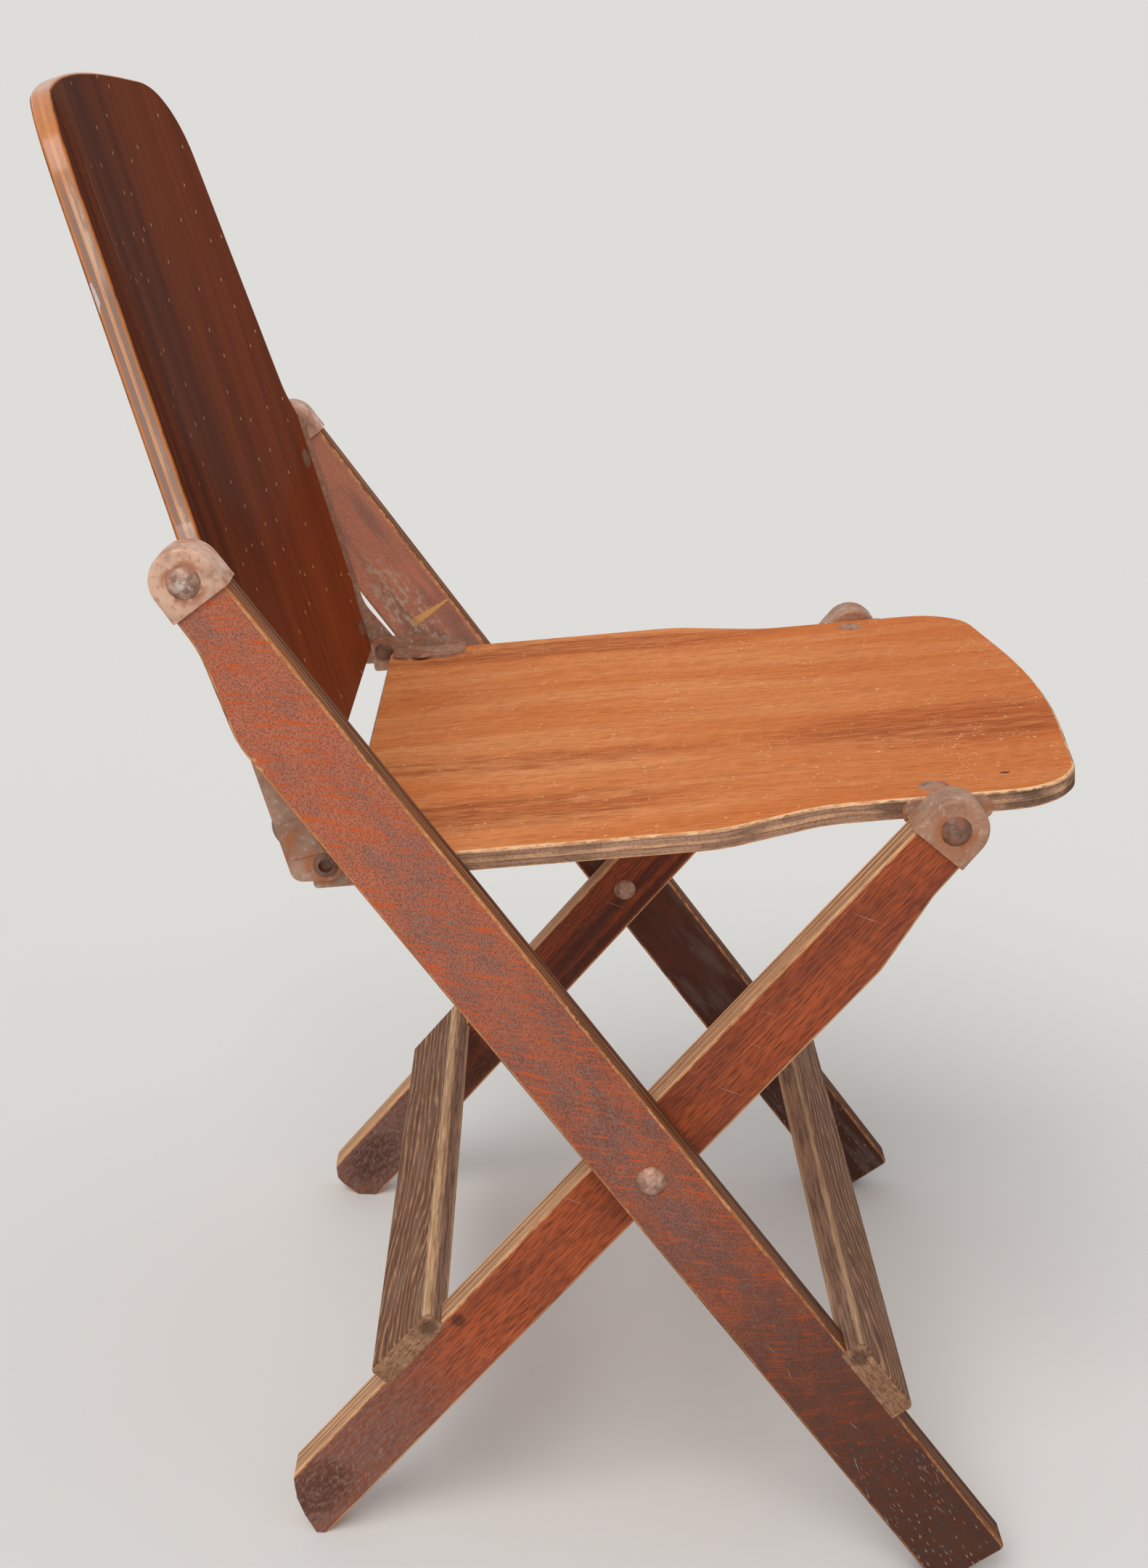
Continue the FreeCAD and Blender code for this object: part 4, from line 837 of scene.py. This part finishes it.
def back_material(look):
    """Back plywood: dark red-brown face with upright grain, pale flecks and painted light, banded glossy edge
    with a painted highlight.
    """
    material, finish = new_material("back_plywood")
    place = finish.place(BACK_PIVOT, BACK_LEAN)
    x, deep, along = finish.split(place)
    reach = deep - BACK_BOW_AXIS
    depth = (x * x + reach * reach) ** 0.5 - BACK_BOW_RADIUS
    inside = finish.least(depth, BACK_THICKNESS - depth)

    # Faces, their dashes and the scratch
    broad = finish.noise(place, scale=26.0, stretch=(1.0, 0.0, 0.08), distortion=0.3)
    streak = finish.noise(place, scale=150.0, detail=4.0, stretch=(1.0, 0.0, 0.04))
    fine = finish.noise(place, scale=800.0, stretch=(1.0, 0.0, 0.06))
    # Painted light: the back face turns redder towards the left and towards its lower part
    painted_light = finish.step(x, *BACK_LEFT_GLOW) * 0.30 + finish.step(along, *BACK_LOW_GLOW) * 0.40
    dashes = finish.flecks(along, x, *BACK_DASHES) * finish.step(x, *BACK_DASHED)
    line = finish.near(x + along * LINE_LEAN, LINE_SIDE, *LINE_WIDTHS)
    line = line * finish.near(along, LINE_HEIGHT, *LINE_LENGTHS) * finish.step(depth, *LINE_DEPTHS)
    face = finish.coats(
        look.back_dark,
        (finish.step(broad, 0.34, 0.66), look.back),
        (painted_light, look.back_painted_light),
        (finish.step(streak, 0.44, 0.72) * 0.35, look.back_dark),
        (finish.step(fine, 0.48, 0.72) * 0.30, look.back_dark),
        (dashes * 0.8, look.speck),
        (line * 0.5, look.chip))

    # Banded edge with its painted highlight and its chip
    share = depth / BACK_THICKNESS + finish.wander(place, scale=14.0, amount=0.06, stretch=(0.3, 0.0, 1.0))
    grain = finish.noise(place, scale=420.0, stretch=(1.0, 1.0, 0.05))
    # Painted highlight along the back's edge, low down and as high as the scratch
    shine = finish.most(
        finish.step(along, *BACK_LOW_EDGE), finish.near(along, LINE_HEIGHT, *SHINE_LENGTHS) * 0.8)
    shine = shine * finish.near(share, SHINE_SHARE, *SHINE_SHARES)
    shine = shine * lifted(finish.step(grain, 0.56, 0.40), 0.35)
    top = finish.step(along, *BACK_TOP_EDGE) * (0.55 + finish.step(grain, 0.40, 0.60) * 0.30)
    chip = finish.patch(share, along, *BACK_CHIP) * finish.step(x, *RIGHT_HALF)
    chipped = finish.step(chip * 0.5 + finish.noise(place, scale=260.0, detail=4.0), 0.74, 0.92)
    plies = finish.ramp(share, [
        (0.00, look.ply_orange), (0.14, look.ply_orange), (0.18, look.ply_mauve), (0.40, look.ply_mauve),
        (0.44, look.ply_tan), (0.48, look.ply_orange), (0.54, look.ply_tan), (0.58, look.ply_mauve),
        (0.80, look.ply_mauve), (0.84, look.ply_orange), (1.00, look.ply_orange)])
    plies = finish.coats(
        plies,
        (finish.step(grain, 0.40, 0.66) * 0.45, look.ply_mauve),
        (shine * 0.75, look.edge_highlight),
        (top, look.ply_orange),
        (chipped * 0.85, look.chip))
    on_edge = finish.step(inside, *BACK_EDGE_DEPTHS)
    bare = worn_line(finish, inside, place, BACK_STRIP)
    wood = finish.coats(face, (on_edge, plies), (bare * 0.6, look.ply_orange))

    height = fine * 0.25 + on_edge * grain * 0.4 - chipped * 0.6
    finish.surface(
        Base_Color=wood, Roughness=0.42, Specular_IOR_Level=0.0, Coat_Weight=0.05 + on_edge * 0.75,
        Coat_Roughness=0.16, Normal=finish.bump(height, BACK_RELIEF))
    return material


def bar_material(name, look, lean, centre, outward, half_length, strip):
    """Weathered stretcher: wavy grain on the wide faces, grey narrow faces, a rubbed arris and bare ends."""
    material, finish = new_material(name)
    place = finish.place(CROSS, lean)
    x, across, along = finish.split(place)
    out = across - centre[0]
    up = along - centre[1]
    thin = BAR_THICKNESS / 2 - abs(out)
    tall = BAR_HEIGHT / 2 - abs(up)

    # Wide and narrow faces
    sway = finish.noise(place, scale=30.0, stretch=(0.16, 0.6, 1.0))
    fibre = finish.noise(place, scale=600.0, detail=4.0, stretch=(0.06, 1.0, 1.0))
    fleck = finish.noise(place, scale=420.0, stretch=(0.20, 1.0, 1.0))
    blotch = finish.noise(place, scale=60.0, detail=4.0, stretch=(0.3, 1.0, 1.0))
    open_grain = finish.step(fibre, 0.40, 0.66)
    level = along + sway * RING_SWAY + finish.step(x, *RING_SLANT_SIDE) * RING_SLANT
    ridges = finish.step(finish.waves(level / RING_WIDTH + fibre * 0.5), 0.24, 0.48)
    ridges = ridges * lifted(finish.step(fleck, 0.36, 0.58), 0.35)
    wide = finish.coats(
        look.wood,
        (open_grain * 0.8, look.dark),
        (ridges * 0.66, look.ridge),
        (finish.step(blotch, 0.46, 0.70) * 0.35, look.grey))
    narrow = finish.coats(
        look.grey,
        (finish.step(fibre, 0.42, 0.64) * 0.65, look.dark),
        (finish.step(blotch, 0.54, 0.70) * 0.35, look.ridge))

    # Bare strip along the top outer arris, and the other arrises
    bare_width, bare_cover = strip
    from_arris = BAR_THICKNESS / 2 - out * outward + (BAR_HEIGHT / 2 - up)
    ragged = from_arris + (blotch - 0.5) * BAR_STRIP_RAGGED[0] + (fleck - 0.5) * BAR_STRIP_RAGGED[1]
    bare = finish.step(ragged, bare_width, bare_width * SOFT_SHARE)
    bare = bare * lifted(finish.step(fibre, 0.60, 0.40), 0.45)
    arrises = finish.step(thin + tall, *BAR_ARRIS_DEPTHS)

    # End grain
    end = finish.step(half_length - abs(x), *BAR_END_DEPTHS)
    rings = finish.noise(place, scale=700.0, detail=4.0, stretch=(0.0, 1.0, 0.3))
    end_grain = finish.coats(
        look.end,
        (finish.step(rings, 0.40, 0.66) * 0.60, look.dark),
        (finish.step(blotch, 0.44, 0.62) * 0.4, look.wood),
        (finish.patch(out, up, *BAR_END_HOLE) * 0.7, look.dark))

    wood = finish.coats(
        wide,
        (finish.step(tall, *NARROW_FACE_DEPTHS), narrow),
        (bare * bare_cover, look.arris),
        (arrises * 0.4, look.arris),
        (end, end_grain))
    height = ridges * 0.6 - open_grain * 0.5 + fleck * 0.3 + rings * end * 0.5
    finish.surface(
        Base_Color=wood, Roughness=0.68 + fibre * 0.12, Specular_IOR_Level=0.2,
        Normal=finish.bump(height, BAR_RELIEF))
    return material


def dowel_material(look):
    """Plain dowels with their grain from front to back."""
    material, finish = new_material("dowel_wood")
    grain = finish.noise(finish.own(), scale=500.0, stretch=(1.0, 0.1, 1.0))
    wood = finish.mix(finish.step(grain, 0.4, 0.7), look.dowel, look.wood)
    finish.surface(Base_Color=wood, Roughness=0.6 + grain * 0.1)
    return material


def steel_material(name, look, shade, pivot):
    """Painted pressed steel: mottled paint, light rust round its pivot, splatter on the left side."""
    material, finish = new_material(name)
    own = finish.own()
    x, y, z = finish.split(own)
    radius = pivot_distance(y, z, pivot)
    blotch = finish.noise(own, scale=46.0, detail=4.0)
    grit = finish.noise(own, scale=330.0, detail=4.0)
    spots = finish.step(finish.noise(own, scale=75.0, detail=5.0), 0.50, 0.70)
    ring = finish.step(radius, *RUST_RING) * finish.step(finish.noise(own, scale=150.0), 0.36, 0.58)
    rim = finish.step(radius, *RUST_RIM_START) * finish.step(radius, *RUST_RIM_END)
    rim = rim * finish.step(finish.noise(own, scale=120.0, detail=4.0), 0.40, 0.62)
    rust = finish.most(spots * 0.60, ring * 0.80, rim * 0.75)
    drops = finish.specks(own, *STEEL_SPLATTER)
    drops = drops * finish.step(finish.noise(own, scale=34.0, detail=2.0), 0.42, 0.56)
    drops = drops * finish.step(x, *LEFT_SIDE) * finish.step(z, *SPLATTER_TOP)
    paint = finish.coats(
        shade,
        (finish.step(blotch, 0.42, 0.68) * 0.6, look.paint_dark),
        (finish.step(grit, 0.54, 0.72) * 0.40, look.bare),
        (finish.step(grit, 0.46, 0.30) * 0.45, look.paint_dark),
        (rust, look.rust),
        (drops * 0.8, look.splatter))
    height = blotch * 0.5 + grit * 0.3 + rust * 0.4
    finish.surface(
        Base_Color=paint, Metallic=0.10 - rust * 0.10,
        Roughness=0.34 + rust * 0.35 + finish.step(blotch, 0.44, 0.68) * 0.12,
        Specular_IOR_Level=0.25, Normal=finish.bump(height, STEEL_RELIEF))
    return material


def rivet_material(name, look, shade, pivot, rubbed):
    """Worn rivet: mottled and rusty; at a pivot also darker towards the rim, with rubbed bare steel and a
    painted glint on the crown.
    """
    material, finish = new_material(name)
    own = finish.own()
    blotch = finish.noise(own, scale=190.0, detail=4.0)
    steel = finish.mix(finish.step(blotch, 0.42, 0.68) * 0.8, shade, look.rivet_dark)
    if pivot:
        y, z = finish.split(own)[1:]
        radius = pivot_distance(y, z, pivot)
        # Rubbed crown of a pivot rivet with a painted glint, and a darker rim
        crown = finish.step(radius + blotch * CROWN_RAGGED, *RIVET_CROWN)
        glint = lifted(finish.step(finish.noise(own, scale=430.0), 0.46, 0.60), 0.2)
        steel = finish.coats(
            steel,
            (finish.step(radius, *RIVET_RIM) * 0.45, look.rivet_dark),
            (crown * glint * rubbed, look.bare))
    rust = finish.step(finish.noise(own, scale=110.0, detail=5.0), 0.54, 0.68)
    steel = finish.mix(rust * 0.45, steel, look.rust)
    finish.surface(
        Base_Color=steel, Metallic=0.25 - rust * 0.2, Roughness=0.34 + rust * 0.25 + blotch * 0.1,
        Specular_IOR_Level=0.30, Normal=finish.bump(blotch, RIVET_RELIEF))
    return material


# Steel finishes: material, shade, pivot that the rust is round, and the piece on both sides
STEEL_FINISHES = (
    ("long_leg_cap_steel", "upper_cap", BACK_PIVOT, "long_leg_cap"),
    ("short_leg_cap_steel", "seat_cap", SEAT_PIVOT, "short_leg_cap"),
    ("front_bracket_steel", "seat_cap", SEAT_PIVOT, "seat_front_bracket"),
    ("hinge_bracket_steel", "paint", HINGE, "seat_hinge_bracket"),
    ("back_bracket_steel", "paint", HINGE, "back_bracket"),
)

# Rivet finishes: material, shade, pivot or none, how strong the rubbed crown with its painted glint is, and
# the pieces
RIVET_FINISHES = (
    ("cross_rivet_steel", "rivet", CROSS, 0.35, both("cross_rivet") + both("cross_spacer")),
    ("back_pivot_rivet_steel", "rivet", BACK_PIVOT, 0.85, both("back_pivot_rivet")),
    ("seat_pivot_rivet_steel", "rivet_brown", SEAT_PIVOT, 0.12, both("seat_pivot_rivet")),
    ("hinge_rivet_steel", "rivet_brown", HINGE, 0.10, both("hinge_rivet")),
    ("seat_rivet_steel", "rivet", None, 0.0, ["seat_front_bracket_rivets", "seat_hinge_bracket_rivets"]),
    ("back_rivet_steel", "rivet_dark", None, 0.0, ["back_bracket_rivets"]),
)

# Outer side of each stretcher, as a sign along its own thickness
FRONT_BAR_OUTWARD = -1.0
REAR_BAR_OUTWARD = 1.0


class FOLDING_CHAIR_OT_long_legs(bpy.types.Operator):
    """Finish the two long legs"""
    bl_idname = "folding_chair.long_legs"
    bl_label = "Long legs"

    def execute(self, context):
        dress(long_leg_material(context.scene.folding_chair.legs), *both("long_leg"))
        return {"FINISHED"}


class FOLDING_CHAIR_OT_short_legs(bpy.types.Operator):
    """Finish the two short legs"""
    bl_idname = "folding_chair.short_legs"
    bl_label = "Short legs"

    def execute(self, context):
        dress(short_leg_material(context.scene.folding_chair.legs), *both("short_leg"))
        return {"FINISHED"}


class FOLDING_CHAIR_OT_stretchers(bpy.types.Operator):
    """Finish the two stretchers and their dowels"""
    bl_idname = "folding_chair.stretchers"
    bl_label = "Stretchers"

    def execute(self, context):
        look = context.scene.folding_chair.bars
        front = bar_material(
            "front_stretcher_wood", look, LONG_LEG_LEAN, FRONT_BAR_CENTRE, FRONT_BAR_OUTWARD,
            LONG_LEG_OUTER, FRONT_BAR_STRIP)
        rear = bar_material(
            "rear_stretcher_wood", look, SHORT_LEG_LEAN, REAR_BAR_CENTRE, REAR_BAR_OUTWARD,
            SHORT_LEG_OUTER, REAR_BAR_STRIP)
        dress(front, "front_stretcher")
        dress(rear, "rear_stretcher")
        dress(dowel_material(look), "front_stretcher_dowels", "rear_stretcher_dowels")
        return {"FINISHED"}


class FOLDING_CHAIR_OT_seat(bpy.types.Operator):
    """Finish the seat panel"""
    bl_idname = "folding_chair.seat"
    bl_label = "Seat panel"

    def execute(self, context):
        dress(seat_material(context.scene.folding_chair.panels), "seat_panel")
        return {"FINISHED"}


class FOLDING_CHAIR_OT_back(bpy.types.Operator):
    """Finish the back panel"""
    bl_idname = "folding_chair.back"
    bl_label = "Back panel"

    def execute(self, context):
        dress(back_material(context.scene.folding_chair.panels), "back_panel")
        return {"FINISHED"}


class FOLDING_CHAIR_OT_fittings(bpy.types.Operator):
    """Finish the pressed steel caps and brackets"""
    bl_idname = "folding_chair.fittings"
    bl_label = "Caps and brackets"

    def execute(self, context):
        look = context.scene.folding_chair.steel
        for name, shade, pivot, piece in STEEL_FINISHES:
            dress(steel_material(name, look, getattr(look, shade), pivot), *both(piece))
        return {"FINISHED"}


class FOLDING_CHAIR_OT_rivets(bpy.types.Operator):
    """Finish the rivets and the spacers"""
    bl_idname = "folding_chair.rivets"
    bl_label = "Rivets"

    def execute(self, context):
        look = context.scene.folding_chair.steel
        for name, shade, pivot, rubbed, pieces in RIVET_FINISHES:
            dress(rivet_material(name, look, getattr(look, shade), pivot, rubbed), *pieces)
        return {"FINISHED"}


class FOLDING_CHAIR_OT_stage(bpy.types.Operator):
    """Make the floor, the light and the camera"""
    bl_idname = "folding_chair.stage"
    bl_label = "Stage"

    def execute(self, context):
        look = context.scene.folding_chair.stage
        make_floor(look)
        make_world(context.scene, look)
        make_key(look)
        make_camera(context.scene, look)
        context.scene.view_settings.view_transform = "Standard"
        return {"FINISHED"}


def make_floor(look):
    """Round pale floor."""
    shape = bmesh.new()
    bmesh.ops.create_circle(shape, cap_ends=True, segments=FLOOR_SIDES, radius=FLOOR_RADIUS)
    mesh = bpy.data.meshes.new("floor")
    shape.to_mesh(mesh)
    shape.free()
    floor = bpy.data.objects.new("floor", mesh)
    bpy.context.collection.objects.link(floor)
    material, finish = new_material("floor")
    grain = finish.noise(finish.own(), scale=30.0, detail=4.0)
    finish.surface(Base_Color=opaque(look.floor), Roughness=0.85 + grain * 0.1, Specular_IOR_Level=0.0)
    mesh.materials.append(material)


def make_world(scene, look):
    """Even soft light, and a pale backdrop for the camera and for gloss."""
    world = bpy.data.worlds.new("studio")
    world.use_nodes = True
    scene.world = world
    finish = Finish(world.node_tree)
    light = finish.add("Background", {}, {"Color": opaque(WHITE), "Strength": look.world_level})
    seen = finish.add("Background", {}, {"Color": opaque(look.backdrop), "Strength": 1.0})
    camera_ray = finish.add("LightPath", output="Is Camera Ray")
    direct = finish.most(
        camera_ray, camera_ray.other("Is Glossy Ray"), camera_ray.other("Is Transmission Ray"))
    joined = finish.add("MixShader", {}, {0: direct, 1: light, 2: seen})
    finish.add("OutputWorld", {}, {"Surface": joined})


def make_key(look):
    """Broad soft light from one side, even over the whole floor."""
    lamp = bpy.data.lights.new("key_light", "SUN")
    lamp.energy = look.key_level
    lamp.angle = look.key_spread
    piece = bpy.data.objects.new("key_light", lamp)
    piece.matrix_world = Vector(look.key_from).to_track_quat("Z", "Y").to_matrix().to_4x4()
    bpy.context.collection.objects.link(piece)


def make_camera(scene, look):
    """Camera at the photograph's viewing angle."""
    level = math.cos(look.camera_pitch)
    forward = Vector((
        level * math.cos(look.camera_yaw), level * math.sin(look.camera_yaw), -math.sin(look.camera_pitch)))
    right = forward.cross(Vector((0.0, 0.0, 1.0))).normalized()
    down = forward.cross(right)
    turned_right = right * math.cos(look.camera_roll) + down * math.sin(look.camera_roll)
    turned_down = down * math.cos(look.camera_roll) - right * math.sin(look.camera_roll)
    axes = Matrix((turned_right, -turned_down, -forward)).transposed()
    lens = bpy.data.cameras.new("camera")
    lens.sensor_fit = "VERTICAL"
    lens.sensor_height = FRAME_HEIGHT
    lens.lens = look.camera_lens
    lens.shift_x, lens.shift_y = look.camera_shift
    camera = bpy.data.objects.new("camera", lens)
    camera.matrix_world = Matrix.Translation(look.camera_place) @ axes.to_4x4()
    bpy.context.collection.objects.link(camera)
    scene.camera = camera


SETTINGS = (LegLook, PanelLook, BarLook, SteelLook, StageLook, ChairSettings)
OPERATORS = (
    FOLDING_CHAIR_OT_long_legs,
    FOLDING_CHAIR_OT_short_legs,
    FOLDING_CHAIR_OT_stretchers,
    FOLDING_CHAIR_OT_seat,
    FOLDING_CHAIR_OT_back,
    FOLDING_CHAIR_OT_fittings,
    FOLDING_CHAIR_OT_rivets,
    FOLDING_CHAIR_OT_stage,
)


class FOLDING_CHAIR_PT_panel(bpy.types.Panel):
    """Buttons for the chair's pieces and the stage"""
    bl_idname = "FOLDING_CHAIR_PT_panel"
    bl_label = "Folding chair"
    bl_space_type = "VIEW_3D"
    bl_region_type = "UI"
    bl_category = "Chair"

    def draw(self, context):
        for operator in OPERATORS:
            self.layout.operator(operator.bl_idname)


CLASSES = SETTINGS + OPERATORS + (FOLDING_CHAIR_PT_panel,)


def register():
    """Add the settings, the operators and the panel."""
    for item in CLASSES:
        bpy.utils.register_class(item)
    bpy.types.Scene.folding_chair = PointerProperty(type=ChairSettings)


def unregister():
    """Take the settings, the operators and the panel away."""
    del bpy.types.Scene.folding_chair
    for item in reversed(CLASSES):
        bpy.utils.unregister_class(item)


def main():
    """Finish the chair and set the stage."""
    register()
    bpy.ops.folding_chair.long_legs()
    bpy.ops.folding_chair.short_legs()
    bpy.ops.folding_chair.stretchers()
    bpy.ops.folding_chair.seat()
    bpy.ops.folding_chair.back()
    bpy.ops.folding_chair.fittings()
    bpy.ops.folding_chair.rivets()
    bpy.ops.folding_chair.stage()


if __name__ == "__main__":
    main()
